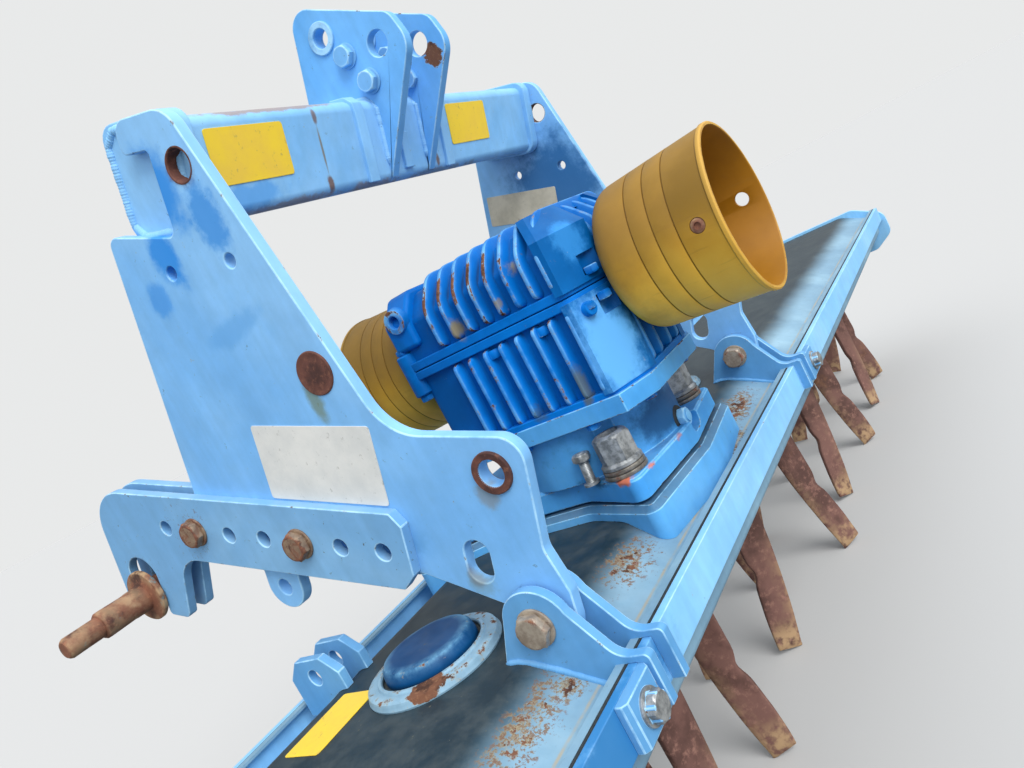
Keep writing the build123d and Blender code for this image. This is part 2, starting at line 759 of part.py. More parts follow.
def make_caps():
    caps = []
    for x in (-plate_centre, plate_centre):
        cap = rod(Circle(cap_ring_radius), (x, 0, trough_top), (x, 0, trough_top + cap_ring_height))
        ring_top = trough_top + cap_ring_height
        cap += rod(Circle(cap_dome_radius), (x, 0, ring_top), (x, 0, trough_top + cap_height))
        cap = chamfer(cap.edges().group_by(Axis.Z)[-1], cap_bevel)
        caps.append(cap)
    return caps


# Rotors

def rotor_angle(index):
    """Turn of a rotor's tine pair at rest; the tips of neighbours never point at each other."""
    return rotor_turns[index % len(rotor_turns)]


def make_carrier(index):
    x = rotor_x[index]
    arm_length = 2 * (tine_sections[0][1] + tine_sections[0][4])
    middle = tine_length + carrier_thickness / 2
    arm = Pos(0, 0, middle) * Box(arm_length, carrier_arm_width, carrier_thickness)
    arm = fillet(arm.edges().filter_by(Axis.Z), carrier_corner)
    carrier = arm + rod(Circle(carrier_hub_radius), (0, 0, tine_length), (0, 0, carrier_top))
    shaft_top = trough_bottom + rotor_shaft_depth - rotor_shaft_end_air
    carrier += rod(Circle(rotor_shaft_radius), (0, 0, carrier_top), (0, 0, shaft_top))
    return [Pos(x, 0, 0) * Rot(0, 0, rotor_angle(index)) * carrier]


def make_tines(index):
    """Two knife tines, opposite each other, that lean out and trail the turn."""
    hand = 1 if index % 2 == 0 else -1
    sections = []
    for share, radius, trail, width, thickness in tine_sections:
        place = Pos(radius, -hand * trail, tine_length * (1 - share))
        sections.append(place * Rectangle(thickness, width))
    tine = loft(sections, ruled=True)
    place = Pos(rotor_x[index], 0, 0) * Rot(0, 0, rotor_angle(index))
    return [place * tine, place * Rot(0, 0, 180) * tine]


# All pieces by name

pieces = {
    "trough": make_trough(),
    "bar_rear": make_bar(-1),
    "bar_front": make_bar(1),
    "end_plates": make_end_plates(),
    "hinge_ears": cheek_pair(ear_section(), -1) + cheek_pair(ear_section(), 1),
    "front_lugs_left": cheek_pair(lug_section(), -1),
    "front_lugs_right": cheek_pair(lug_section(), 1),
    "hinge_bolts": make_hinge_bolts(),
    "bar_clamps": make_bar_clamps(),
    "trough_caps": make_caps(),
    "gearbox_pad": make_pad(),
    "gearbox_base": make_gearbox_base(),
    "gearbox_lower": make_housing(box_low, shaft_z, False),
    "gearbox_upper": make_housing(shaft_z, box_high, True),
    "gearbox_nuts": make_studs(),
    "guard_rear": make_guard(-1, guard_rear_length),
    "guard_front": make_guard(1, guard_front_length),
    "pto_shaft": make_shaft(),
    "side_plate_left": make_side_plate(-1),
    "side_plate_right": make_side_plate(1),
    "cross_beam": make_beam(),
    "top_link_plates": make_top_plates(),
    "top_link_bolts": make_top_bolts(),
    "link_arms_left": make_arm(-1),
    "link_arms_right": make_arm(1),
    "link_pin_left": make_link_pin(-1),
    "link_pin_right": make_link_pin(1),
    "arm_bolts": make_arm_bolts(),
}
for index in range(rotor_count):
    pieces[f"rotor_{index + 1:02d}"] = make_carrier(index)
    pieces[f"tines_{index + 1:02d}"] = make_tines(index)

# Origin at the bottom centre of the whole machine
everything = Compound([solid for group in pieces.values() for solid in group])
bounds = everything.bounding_box()
middle = (bounds.min + bounds.max) / 2
to_origin = Pos(-middle.X, -middle.Y, -bounds.min.Z)

os.makedirs("parts", exist_ok=True)
for name, group in pieces.items():
    moved = [to_origin * solid for solid in group]
    export_step(moved[0] if len(moved) == 1 else Compound(moved), f"parts/{name}.step")
print("shift to origin", to_origin.position)
print("lowest", bounds.min, "highest", bounds.max)
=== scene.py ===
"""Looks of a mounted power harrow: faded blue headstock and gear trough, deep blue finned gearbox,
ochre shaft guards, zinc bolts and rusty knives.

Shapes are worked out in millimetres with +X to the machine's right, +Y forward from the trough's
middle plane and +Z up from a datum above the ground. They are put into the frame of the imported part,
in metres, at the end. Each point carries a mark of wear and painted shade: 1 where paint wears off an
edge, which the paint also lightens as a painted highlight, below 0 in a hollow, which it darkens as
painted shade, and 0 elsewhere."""
import bmesh
import bpy
import json
import numpy as np
from math import cos, hypot, pi, radians, sin
from mathutils import Matrix, Vector


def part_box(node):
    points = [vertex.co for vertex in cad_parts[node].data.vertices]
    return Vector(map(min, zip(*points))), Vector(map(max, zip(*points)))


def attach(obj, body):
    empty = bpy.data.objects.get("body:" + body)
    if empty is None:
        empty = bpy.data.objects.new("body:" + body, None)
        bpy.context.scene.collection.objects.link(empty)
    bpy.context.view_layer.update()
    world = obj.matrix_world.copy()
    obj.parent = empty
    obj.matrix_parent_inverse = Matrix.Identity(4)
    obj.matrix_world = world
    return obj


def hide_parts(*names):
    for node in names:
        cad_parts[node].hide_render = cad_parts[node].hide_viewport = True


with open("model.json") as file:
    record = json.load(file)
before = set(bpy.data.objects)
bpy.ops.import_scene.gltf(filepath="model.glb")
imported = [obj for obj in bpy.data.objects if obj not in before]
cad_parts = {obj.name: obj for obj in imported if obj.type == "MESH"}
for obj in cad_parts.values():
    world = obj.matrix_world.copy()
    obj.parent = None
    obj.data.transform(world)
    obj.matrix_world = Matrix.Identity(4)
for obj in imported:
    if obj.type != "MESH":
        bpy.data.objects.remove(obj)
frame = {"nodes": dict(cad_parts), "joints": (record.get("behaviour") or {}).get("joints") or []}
nodes = frame["nodes"]
joints = {joint["name"]: joint for joint in frame["joints"]}
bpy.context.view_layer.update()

MM = 0.001
UP, DOWN = (0, 0, 1), (0, 0, -1)

# Height of the plane that heights are counted from, and the knives' length
datum = 76.0
knife_length = 350.0

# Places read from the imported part
middle_y = joints["pto_spin"]["pos_m"][1] / MM
shaft_z = joints["pto_spin"]["pos_m"][2] / MM - datum
hinge_y = joints["headstock_pivot"]["pos_m"][1] / MM - middle_y
hinge_z = joints["headstock_pivot"]["pos_m"][2] / MM - datum
lean = radians(-joints["headstock_pivot"]["range_deg"][0])


def corners(node):
    """Lowest and highest corner of a CAD node in millimetres from the middle plane and the datum."""
    shift = np.array([0.0, middle_y, datum])
    return [np.array(corner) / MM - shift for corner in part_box(node)]


trough_top = corners("trough")[1][2]
lower_low, lower_high = corners("gearbox_lower")
upper_high = corners("gearbox_upper")[1]

# Sizes of the headstock, as the plates measure: x of faces, thicknesses, heights
bush_ring_height = 3.0
plate_face = -corners("side_plate_left")[0][0] - bush_ring_height
plate_thickness = 15.0
plate_inner = plate_face - plate_thickness
near_face = -plate_face
arm_thickness = 13.0
arm_outer, arm_inner = plate_face + arm_thickness, plate_inner - arm_thickness
ear_gap, ear_thickness = 5.0, 12.0
ear_outer = plate_face + ear_gap + ear_thickness
ear_inner = plate_inner - ear_gap - ear_thickness
top_plate_x = (37.5, 52.5)
beam_rear, beam_front, beam_bottom, beam_top = 318.0, 418.0, 406.0, 516.0

# Places on the headstock: (forward, up) from the hinge
arm_hole_first, arm_hole_pitch, arm_hole_up = 515.0, 58.0, 60.0
hook_pin = (602.0, -45.0)
front_bore, upper_hole, rust_disc = (22.0, 149.0), (303.0, 467.0), (203.0, 250.0)
top_bolt_spots = ((345.0, 574.0), (316.0, 537.0))
top_front_hole = (379.0, 604.0)

# Turns of the first six rotors' knives at rest in degrees; the row repeats along the trough
rotor_turns = (68.0, 24.0, 38.0, 50.0, 56.0, 40.0)

# Sizes of the gearbox
fin_rise, fin_pitch, fin_first, fin_count = 14.0, 26.5, -6.5, 8
core_x = -lower_low[0] - fin_rise
core_rear = lower_low[1] + fin_rise
core_front = lower_high[1] - fin_rise
split_z = lower_high[2]
housing_low = lower_low[2]
roof_z = upper_high[2] - fin_rise
corner_cut = (52.0, 26.0)
roof_chamfer = 33.0
split_rise, split_height = 9.0, 12.0
rib_end = 9.0
panel_rise = 13.0
shoulder_rise = 9.0
nut_x, nut_y = 120.0, 163.0
base_top = trough_top + 53.0
cap_x = 391.0


# Helpers for meshes

def to_frame(points):
    """Millimetres from the trough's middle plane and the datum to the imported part's metres."""
    return (np.asarray(points, float) + np.array([0.0, middle_y, datum])) * MM


def from_hinge(x, forward, up):
    """Headstock point: forward and up from the hinge, turned back by the headstock's lean."""
    y = hinge_y + forward * cos(lean) - up * sin(lean)
    z = hinge_z + forward * sin(lean) + up * cos(lean)
    return np.array([x, y, z])


def smoothstep(low, high, value):
    share = np.clip((value - low) / (high - low), 0.0, 1.0)
    return share * share * (3.0 - 2.0 * share)


def turn_round(count):
    """Angles of count points spaced evenly round a circle."""
    return np.arange(count) * 2 * pi / count


def unit(rows):
    """Vectors brought to length 1."""
    return rows / np.linalg.norm(rows, axis=-1, keepdims=True)


def basis(way):
    """Way, or rows of ways, at length 1, and two unit vectors square to it and to each other."""
    way = unit(np.asarray(way, float))
    helper = np.where(np.abs(way[..., 2:]) < 0.9, [0.0, 0.0, 1.0], [1.0, 0.0, 0.0])
    first = unit(np.cross(helper, way))
    return way, first, np.cross(way, first)


def resampled(path, step, least):
    """Points about step apart along a line of points, and how far along each of them lies."""
    path = np.asarray(path, float)
    far = np.concatenate([[0], np.cumsum(np.linalg.norm(np.diff(path, axis=0), axis=1))])
    at = np.linspace(0, far[-1], max(int(far[-1] / step), least))
    return np.stack([np.interp(at, far, column) for column in path.T], -1), at


def bent(before, spot, after, reach, steps):
    """Rounded corner at a spot: with share s from 0 to 1, its points are (1 - s)² start + 2 s (1 - s)
    spot + s² end, where start and end lie reach away from the spot on its two sides."""
    start, end = (spot + unit(other - spot) * reach for other in (before, after))
    share = np.linspace(0, 1, steps)[:, None]
    return (1 - share) ** 2 * start + 2 * share * (1 - share) * spot + share ** 2 * end


def grid(points, wear_and_shade=None, capped=True):
    """Shell over rows of points that each run round a ring: quads between neighbours, and one face over
    the first and the last row if capped. A shell is (points, faces, worn)."""
    points = np.asarray(points, float)
    rows, columns = points.shape[:2]
    index = np.arange(rows * columns).reshape(rows, columns)
    around = np.hstack([index, index[:, :1]])
    quads = np.stack([around[:-1, :-1], around[:-1, 1:], around[1:, 1:], around[1:, :-1]], -1)
    faces = quads.reshape(-1, 4).tolist()
    if capped:
        faces += [index[0, ::-1].tolist(), index[-1].tolist()]
    flat = points.reshape(-1, 3)
    return flat, faces, np.zeros(len(flat)) if wear_and_shade is None else np.asarray(wear_and_shade, float).ravel()


def turned(start, way, profile, sides=48, turn=0.0, flats=0, across=0.0, hollow=False):
    """Solid of revolution: profile rows (distance along, radius) or (distance, radius, worn) spun round
    the line from start. With flats, the radius is also cut to a regular polygon: across / 2 over the
    cosine of the angle to the nearest flat's middle. A hollow one is a ring with an open bore."""
    way, first, second = basis(way)
    profile = np.asarray(profile, float)
    if hollow:
        profile = np.concatenate([profile, profile[:1]])
    angle = turn_round(sides) + turn
    radius = np.repeat(profile[:, 1:2], sides, axis=1)
    if flats:
        wedge = 2 * pi / flats
        offset = (angle - turn + wedge / 2) % wedge - wedge / 2
        radius = np.minimum(radius, across / 2 / np.cos(offset)[None, :])
    along = np.asarray(start)[None, None, :] + profile[:, 0][:, None, None] * way
    ring = np.cos(angle)[:, None] * first + np.sin(angle)[:, None] * second
    wear_and_shade = np.repeat(profile[:, 2:3], sides, axis=1) if profile.shape[1] == 3 else None
    return grid(along + radius[..., None] * ring[None], wear_and_shade, not hollow)


def disc(start, way, radius, height, bevel=0.8):
    """Washer or collar with small rounded corners."""
    cut = min(bevel, radius * 0.4, height * 0.4)
    rows = [(0, radius - cut), (0.3 * cut, radius - 0.3 * cut), (cut, radius)]
    return turned(start, way, rows + [(height - along, reach) for along, reach in reversed(rows)])


def hex_head(start, way, across, height, turn=0.3):
    """Bolt head: a hexagon whose corners are cut by a cone round a flat face, over a washer face. The
    ring round the flat face is marked as worn."""
    reach = across / 2 / cos(pi / 6)
    rows = [(0, across * 0.46, 0), (0.3, across * 0.485, 0), (1.2, across * 0.485, 0),
            (1.6, reach * 0.985, 0), (2.2, reach, 0), (height - 0.08 * across, reach, 0.2),
            (height - 0.5, across * 0.494, 1), (height, across * 0.465, 1), (height, across * 0.40, 0),
            (height, across * 0.15, 0)]
    return turned(start, way, rows, turn=turn, flats=6, across=across)


def threaded(start, way, length, radius, pitch=2.0):
    """Bolt shank: radius goes in and out along the length as a row of ridges, with a chamfered end."""
    along = np.arange(0, length - 2.0, pitch / 2)
    ridge = radius - 0.55 * (np.arange(len(along)) % 2)
    rows = list(zip(along, ridge)) + [(length - 1.5, radius - 0.4), (length, radius - 1.8)]
    return turned(start, way, rows, sides=28)


def through_bolt(side, spot, span, disc_size, lift, head, tail, shank, sides=48):
    """Bolt across the headstock at (forward, up), from span's inner to its outer x: washer (radius,
    height) with the head (across, height, turn) lifted over it, tail head inside, plain shank."""
    inner, outer = span

    def at(x):
        return from_hinge(side * x, *spot)
    return [disc(at(outer), (side, 0, 0), *disc_size), hex_head(at(outer + lift), (side, 0, 0), *head),
            hex_head(at(inner), (-side, 0, 0), *tail),
            turned(at(inner + 1), (side, 0, 0), [(0, shank), (outer - inner - 2, shank)], sides)]


def bead(path, radius, seed, ripple=3.2):
    """Weld bead along a path: a tube whose radius swells once every ripple and wanders a little."""
    fine, at = resampled(path, ripple / 4, 6)
    wander = np.random.default_rng(seed).normal(0, 1, len(at))
    wander = np.convolve(wander, np.ones(9) / 9, mode="same")
    swell = 1 + 0.10 * np.abs(np.sin(at * pi / ripple)) + 0.16 * wander
    swell *= np.sqrt(np.clip(np.minimum(at, at[-1] - at) / (2 * radius), 0.02, 1))
    _, first, second = basis(np.gradient(fine, axis=0))
    angle = turn_round(10)
    ring = np.cos(angle)[None, :, None] * first[:, None] + np.sin(angle)[None, :, None] * second[:, None]
    return grid(fine[:, None] + radius * swell[:, None, None] * ring)


def at_height(outline, z):
    """Ring of points: an (x, y) outline at a height."""
    return np.column_stack([outline, np.full(len(outline), z)])


def prism(outline, low, high):
    """Straight solid over a closed (x, y) outline, from height low to height high."""
    return grid([at_height(outline, z) for z in (low, high)])


def rounded_plate(length, width, corner, steps=6):
    """Closed (a, b) outline of a rectangle with rounded corners, centred on zero."""
    points = []
    for k, (a, b) in enumerate(((1, 1), (-1, 1), (-1, -1), (1, -1))):
        angle = np.linspace(0, pi / 2, steps) + k * pi / 2
        centre = (a * (length / 2 - corner), b * (width / 2 - corner))
        points.append(np.column_stack([np.cos(angle), np.sin(angle)]) * corner + centre)
    return np.concatenate(points)


def merged(name, shells):
    """One mesh of several shells, with their worn marks and all normals outwards."""
    points, faces, wear_and_shade, first = [], [], [], 0
    for shell_points, shell_faces, shell_worn in shells:
        points.append(shell_points)
        wear_and_shade.append(shell_worn)
        faces += [[first + corner for corner in face] for face in shell_faces]
        first += len(shell_points)
    mesh = bpy.data.meshes.new(name)
    mesh.from_pydata(to_frame(np.concatenate(points)).tolist(), [], faces)
    mark = mesh.attributes.new("wear_and_shade", "FLOAT", "POINT")
    mark.data.foreach_set("value", np.concatenate(wear_and_shade).astype(np.float32))
    tidy = bmesh.new()
    tidy.from_mesh(mesh)
    bmesh.ops.remove_doubles(tidy, verts=tidy.verts, dist=1e-6)
    bmesh.ops.recalc_face_normals(tidy, faces=tidy.faces)
    tidy.to_mesh(mesh)
    tidy.free()
    return mesh


def linked(name, data):
    """New object in the scene."""
    made = bpy.data.objects.new(name, data)
    bpy.context.scene.collection.objects.link(made)
    return made


def dressed(name, mesh, finish, stands_for, crease, body):
    """Object for a mesh, smooth below the crease angle, riding on its body."""
    mesh.polygons.foreach_set("use_smooth", np.ones(len(mesh.polygons), bool))
    mesh.set_sharp_from_angle(angle=radians(crease))
    made = linked(name, mesh)
    mesh.materials.append(finishes[finish]["material"])
    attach(made, body)
    if stands_for:
        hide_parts(*stands_for)
    return made


def piece(name, shells, finish, stands_for=(), crease=38.0, bevel=None, body="trough_frame"):
    """Visible piece made of shells. Bevel is (width, segments) of its rounded edges."""
    made = dressed(name, merged(name, shells), finish, stands_for, crease, body)
    if bevel:
        modifier = made.modifiers.new("rounded edges", "BEVEL")
        modifier.width, modifier.segments = bevel[0] * MM, bevel[1]
        modifier.limit_method, modifier.angle_limit = "ANGLE", radians(28)
        modifier.use_clamp_overlap = False
        modifier.harden_normals = True
    return made


def eased(node, finish, width, body="trough_frame"):
    """Copy of a CAD node with its sharp edges rounded. The rounded strips carry worn = 1."""
    shape = bmesh.new()
    shape.from_mesh(nodes[node].data)
    bmesh.ops.remove_doubles(shape, verts=shape.verts, dist=2e-5)
    bmesh.ops.dissolve_limit(shape, angle_limit=radians(0.8), verts=shape.verts, edges=shape.edges)
    sharp = [e for e in shape.edges if len(e.link_faces) == 2 and e.calc_face_angle() > radians(30)]
    cut = bmesh.ops.bevel(shape, geom=sharp, offset=width * MM, offset_type="OFFSET", segments=2,
                          profile=0.5, affect="EDGES", clamp_overlap=False)
    shape.faces.index_update()
    wear_and_shade = np.zeros(len(shape.faces), np.float32)
    wear_and_shade[[face.index for face in cut["faces"] if face.is_valid]] = 1.0
    mesh = bpy.data.meshes.new(node + "_eased")
    shape.to_mesh(mesh)
    shape.free()
    mesh.attributes.new("wear_and_shade", "FLOAT", "FACE").data.foreach_set("value", wear_and_shade)
    made = dressed(node + "_eased", mesh, finish, (node,), 50.0, body)
    made.modifiers.new("flat faces", "WEIGHTED_NORMAL").keep_sharp = True


def drill(made, cutters):
    """Cuts closed shells out of a piece and keeps the result as its mesh."""
    tool = linked("cutter", merged("cutter", cutters))
    cut = made.modifiers.new("holes", "BOOLEAN")
    cut.operation, cut.solver, cut.object = "DIFFERENCE", "EXACT", tool
    bpy.context.view_layer.update()
    ready = made.evaluated_get(bpy.context.evaluated_depsgraph_get())
    result = bpy.data.meshes.new_from_object(ready)
    made.modifiers.remove(cut)
    made.data = result
    result.set_sharp_from_angle(angle=radians(35))
    bpy.data.objects.remove(tool)


# Shader helpers

class Signal:
    """Output of a shader node. Signals are added, subtracted and multiplied the way numbers are."""

    def __init__(self, socket):
        self.socket, self.tree = socket, socket.id_data

    def __add__(self, other):
        return maths("ADD", self, other)

    def __sub__(self, other):
        return maths("SUBTRACT", self, other)

    def __rsub__(self, other):
        return maths("SUBTRACT", other, self)

    def __mul__(self, other):
        return maths("MULTIPLY", self, other)

    def __abs__(self):
        return maths("ABSOLUTE", self)


def tone(red, green, blue):
    """Colour written as it looks on a screen, 0 to 255, for a shader socket."""
    values = [channel / 255 for channel in (red, green, blue)]
    return (*[v / 12.92 if v <= 0.04045 else ((v + 0.055) / 1.055) ** 2.4 for v in values], 1.0)


def toned(values):
    """Named values with their screen colours turned into shader colours."""
    return {key: tone(*value) if isinstance(value, tuple) else value for key, value in values.items()}


def plug(node, inputs):
    """Gives a node's inputs, by name or number, a signal, a number or a colour."""
    for key, value in inputs.items():
        if isinstance(value, Signal):
            node.id_data.links.new(value.socket, node.inputs[key])
        else:
            node.inputs[key].default_value = value


def add(tree, kind, inputs, **settings):
    node = tree.nodes.new(kind)
    for key, value in settings.items():
        setattr(node, key, value)
    plug(node, inputs)
    return node


def signal(tree, kind, inputs=(), output=0, **settings):
    """One output of a new shader node."""
    return Signal(add(tree, kind, dict(inputs), **settings).outputs[output])


def maths(operation, first, second=0.0):
    tree = (first if isinstance(first, Signal) else second).tree
    return signal(tree, "ShaderNodeMath", {0: first, 1: second}, operation=operation)


def clamp(value):
    """The same signal, kept between 0 and 1 by the node that works it out."""
    value.socket.node.use_clamp = True
    return value


def vector(operation, first, second=(0.0, 0.0, 0.0)):
    output = "Value" if operation in ("LENGTH", "DOT_PRODUCT") else "Vector"
    return signal(first.tree, "ShaderNodeVectorMath", {0: first, 1: second}, output, operation=operation)


def axis(value, number):
    """x, y or z of a vector signal, for number 0, 1 or 2."""
    return signal(value.tree, "ShaderNodeSeparateXYZ", {0: value}, number)


def place(tree):
    return signal(tree, "ShaderNodeTexCoord", output="Object")


def wear_and_shade_mark(tree):
    return signal(tree, "ShaderNodeAttribute", output="Fac", attribute_name="wear_and_shade")


def facing(tree):
    return signal(tree, "ShaderNodeNewGeometry", output="Normal")


def seen_directly(tree):
    """1 for rays that come from the camera, also through glass, and 0 for all others."""
    rays = add(tree, "ShaderNodeLightPath", {}).outputs
    return maths("MAXIMUM", Signal(rays["Is Camera Ray"]), Signal(rays["Is Transmission Ray"]))


def noise(where, scale, detail=4.0, rough=0.55, twist=0.0):
    inputs = {"Vector": where, "Scale": scale, "Detail": detail, "Roughness": rough, "Distortion": twist}
    return signal(where.tree, "ShaderNodeTexNoise", inputs, "Fac")


def streaks(where, scale, rough=0.55):
    """Noise drawn out along the axis with the lowest scale."""
    squeezed = signal(where.tree, "ShaderNodeMapping", {"Vector": where, "Scale": scale})
    return noise(squeezed, 1.0, 3.0, rough)


def spread(value, low, high, start, end, bend="LINEAR"):
    """Value from low to high brought to the range from start to end, and held there outside it."""
    inputs = {"Value": value, "From Min": low, "From Max": high, "To Min": start, "To Max": end}
    return signal(value.tree, "ShaderNodeMapRange", inputs, interpolation_type=bend)


def between(value, low, high):
    """Smooth step of a value from 0 at low to 1 at high."""
    return spread(value, low, high, 0.0, 1.0, "SMOOTHSTEP")


def blend(share, first, second, kind="MIX"):
    """Colour that goes from first to second as share goes from 0 to 1."""
    tree = next(value.tree for value in (share, first, second) if isinstance(value, Signal))
    inputs = {0: share, 6: first, 7: second}
    return signal(tree, "ShaderNodeMix", inputs, 2, data_type="RGBA", blend_type=kind)


def new_group(name, inputs, outputs):
    """Empty node group. Inputs are {label: default}, where a default is a colour of four numbers, a
    vector of three or a number. Returns its tree, its inputs as signals and its output node."""
    kinds = {4: "NodeSocketColor", 3: "NodeSocketVector", 1: "NodeSocketFloat"}
    tree = bpy.data.node_groups.new(name, "ShaderNodeTree")
    for label, value in inputs.items():
        socket = tree.interface.new_socket(label, in_out="INPUT", socket_type=kinds[np.size(value)])
        socket.default_value = value
    for label in outputs:
        tree.interface.new_socket(label, in_out="OUTPUT", socket_type=kinds[4 if label == "Colour" else 1])
    given = {socket.name: Signal(socket) for socket in tree.nodes.new("NodeGroupInput").outputs}
    return tree, given, tree.nodes.new("NodeGroupOutput")


def group(tree, which, inputs):
    """Outputs, by name, of a node group put into a tree."""
    node = add(tree, "ShaderNodeGroup", inputs, node_tree=groups[which])
    return {socket.name: Signal(socket) for socket in node.outputs}


def make_rust_group():
    """Mottled rust: three browns mixed by two noises, rough, with a pitted height."""
    tree, given, result = new_group("mottled rust", {
        "Dark": tone(62, 40, 34), "Middle": tone(118, 74, 56), "Light": tone(158, 108, 72), "Scale": 20.0},
        ("Colour", "Roughness", "Height"))
    where = place(tree)
    broad = noise(where, given["Scale"], 5.0, 0.6)
    fine = noise(where, given["Scale"] * 6.0, 6.0, 0.7)
    colour = blend(between(broad, 0.36, 0.56), given["Dark"], given["Middle"])
    colour = blend(between(fine, 0.5, 0.72), colour, given["Light"])
    plug(result, {"Colour": colour, "Roughness": fine * 0.3 + 0.62, "Height": broad * 0.6 + fine * 0.4})
    return tree


def make_paint_group():
    """Old paint: two shades drift into each other, with run marks, specks, pale worn edges that also stand
    in for a painted highlight, painted shade in hollows where the wear mark is below zero, dust on faces
    that look up and rust where it is chipped."""
    tree, given, result = new_group("old paint", {
        "Paint": tone(116, 182, 236), "Sunned": tone(142, 202, 248), "Edge": tone(176, 222, 250),
        "Deep": tone(40, 84, 122), "Dust": tone(150, 152, 144), "Wear and shade": 0.0, "Chips": 0.5, "Specks": 0.5,
        "Grit": 0.0, "Dusting": 0.3, "Edge light": 0.8, "Rusting": 0.0}, ("Colour", "Roughness", "Height"))
    where, wear_and_shade = place(tree), given["Wear and shade"]
    drift = noise(where, 3.1, 5.0, 0.6, 0.4)
    mottle = noise(where, 26.0, 6.0, 0.68)
    fine = noise(where, 120.0, 5.0, 0.7)
    runs = streaks(where, (55.0, 55.0, 4.0), 0.6)
    colour = blend(between(drift, 0.36, 0.66), given["Paint"], given["Sunned"])
    shade = spread(mottle, 0.3, 0.7, 0.91, 1.05) * spread(runs, 0.3, 0.75, 1.03, 0.92)
    grey = signal(tree, "ShaderNodeCombineColor", {0: shade, 1: shade, 2: shade})
    colour = blend(1.0, colour, grey, "MULTIPLY")

    # Painted shade: hollows, where the wear mark is below zero, take the dark colour given for hollows
    hollow = clamp(wear_and_shade * -1.0) * between(mottle, 0.15, 0.6)
    colour = blend(hollow, colour, given["Deep"])
    bare = clamp(wear_and_shade + 0.0)
    # Pale worn edges, which also stand in for a painted highlight along edges and crests
    ragged_edge_highlight = clamp(bare * between(mottle, 0.30, 0.62) * given["Edge light"])
    colour = blend(ragged_edge_highlight, colour, given["Edge"])

    lying = between(axis(facing(tree), 2), 0.35, 0.95) * between(mottle, 0.34, 0.70)
    dusted = clamp(lying * given["Dusting"])
    colour = blend(dusted, colour, given["Dust"])

    speck = clamp(between(fine, 0.64, 0.70) * between(mottle, 0.45, 0.6) * given["Specks"])
    colour = blend(speck, colour, tone(84, 88, 80))
    grain = noise(where, 190.0, 4.0, 0.75)
    clump = noise(where, 42.0, 5.0, 0.7, 0.8)
    level = given["Grit"] * 0.22 + grain + clump * 0.5
    grit = clamp(between(level, 0.92, 0.99) * given["Grit"])
    colour = blend(grit, colour, blend(between(grain, 0.45, 0.62), tone(138, 128, 100), tone(112, 82, 62)))

    rust = group(tree, "rust", {"Scale": 45.0, "Dark": tone(70, 48, 40), "Middle": tone(112, 76, 58),
                                "Light": tone(142, 104, 78)})
    push = bare * 0.115 * given["Chips"] + clamp(wear_and_shade - 1.0) * 0.3
    level = noise(where, 70.0, 7.0, 0.72) + push + given["Rusting"] * 0.42
    chipped = between(level, 0.715, 0.75)
    rim = clamp(between(level, 0.665, 0.715) - chipped)
    colour = blend(rim * 0.5, colour, tone(158, 150, 122))
    colour = blend(chipped, colour, rust["Colour"])

    rough = clamp(spread(mottle, 0.3, 0.7, 0.36, 0.54) + (chipped + dusted + grit) * 0.35)
    height = mottle * 0.25 - chipped * 0.55 + fine * 0.12 + grit * 0.2
    plug(result, {"Colour": colour, "Roughness": rough, "Height": height})
    return tree


def make_stain_group():
    """Mask of a smudge: 1 inside a ragged ellipsoid about Centre, 0 outside it."""
    tree, given, result = new_group("smudge", {
        "Centre": (0.0, 0.0, 0.0), "Size": (0.05, 0.05, 0.05), "Raggedness": 0.8, "Strength": 1.0},
        ("Mask",))
    where = place(tree)
    offset = vector("SUBTRACT", where, given["Centre"])
    far = vector("LENGTH", vector("DIVIDE", offset, given["Size"]))
    level = far + (noise(where, 34.0, 6.0, 0.7) - 0.5) * given["Raggedness"] * 2.0
    inside = 1.0 - between(level, 0.45, 1.05)
    plug(result, {"Mask": clamp(inside * given["Strength"])})
    return tree


groups = {}
groups["rust"] = make_rust_group()
groups["paint"] = make_paint_group()
groups["stain"] = make_stain_group()


# Materials

def new_material(name):
    material = bpy.data.materials.new(name)
    material.use_nodes = True
    return material, material.node_tree


def finished(material, slot, inputs, height, strength, distance=0.0008):
    """Plugs a material's shader, with a bump from a height, and pairs the material with its slot."""
    bump_inputs = {"Height": height, "Strength": strength, "Distance": distance}
    bump = signal(material.node_tree, "ShaderNodeBump", bump_inputs)
    plug(material.node_tree.nodes["Principled BSDF"], {**inputs, "Normal": bump})
    return {"material": material, "slot": slot}


def smudge(tree, centre, size, strength, ragged=0.8):
    """Mask of one smudge; its centre and size are in millimetres."""
    size = tuple(np.array(size) * MM)
    inputs = {"Centre": tuple(to_frame(centre)), "Size": size, "Strength": strength, "Raggedness": ragged}
    return group(tree, "stain", inputs)["Mask"]


def largest(tree, places):
    """Largest of several smudges (centre, size, strength)."""
    total, *others = [smudge(tree, *spot) for spot in places]
    for other in others:
        total = maths("MAXIMUM", total, other)
    return total


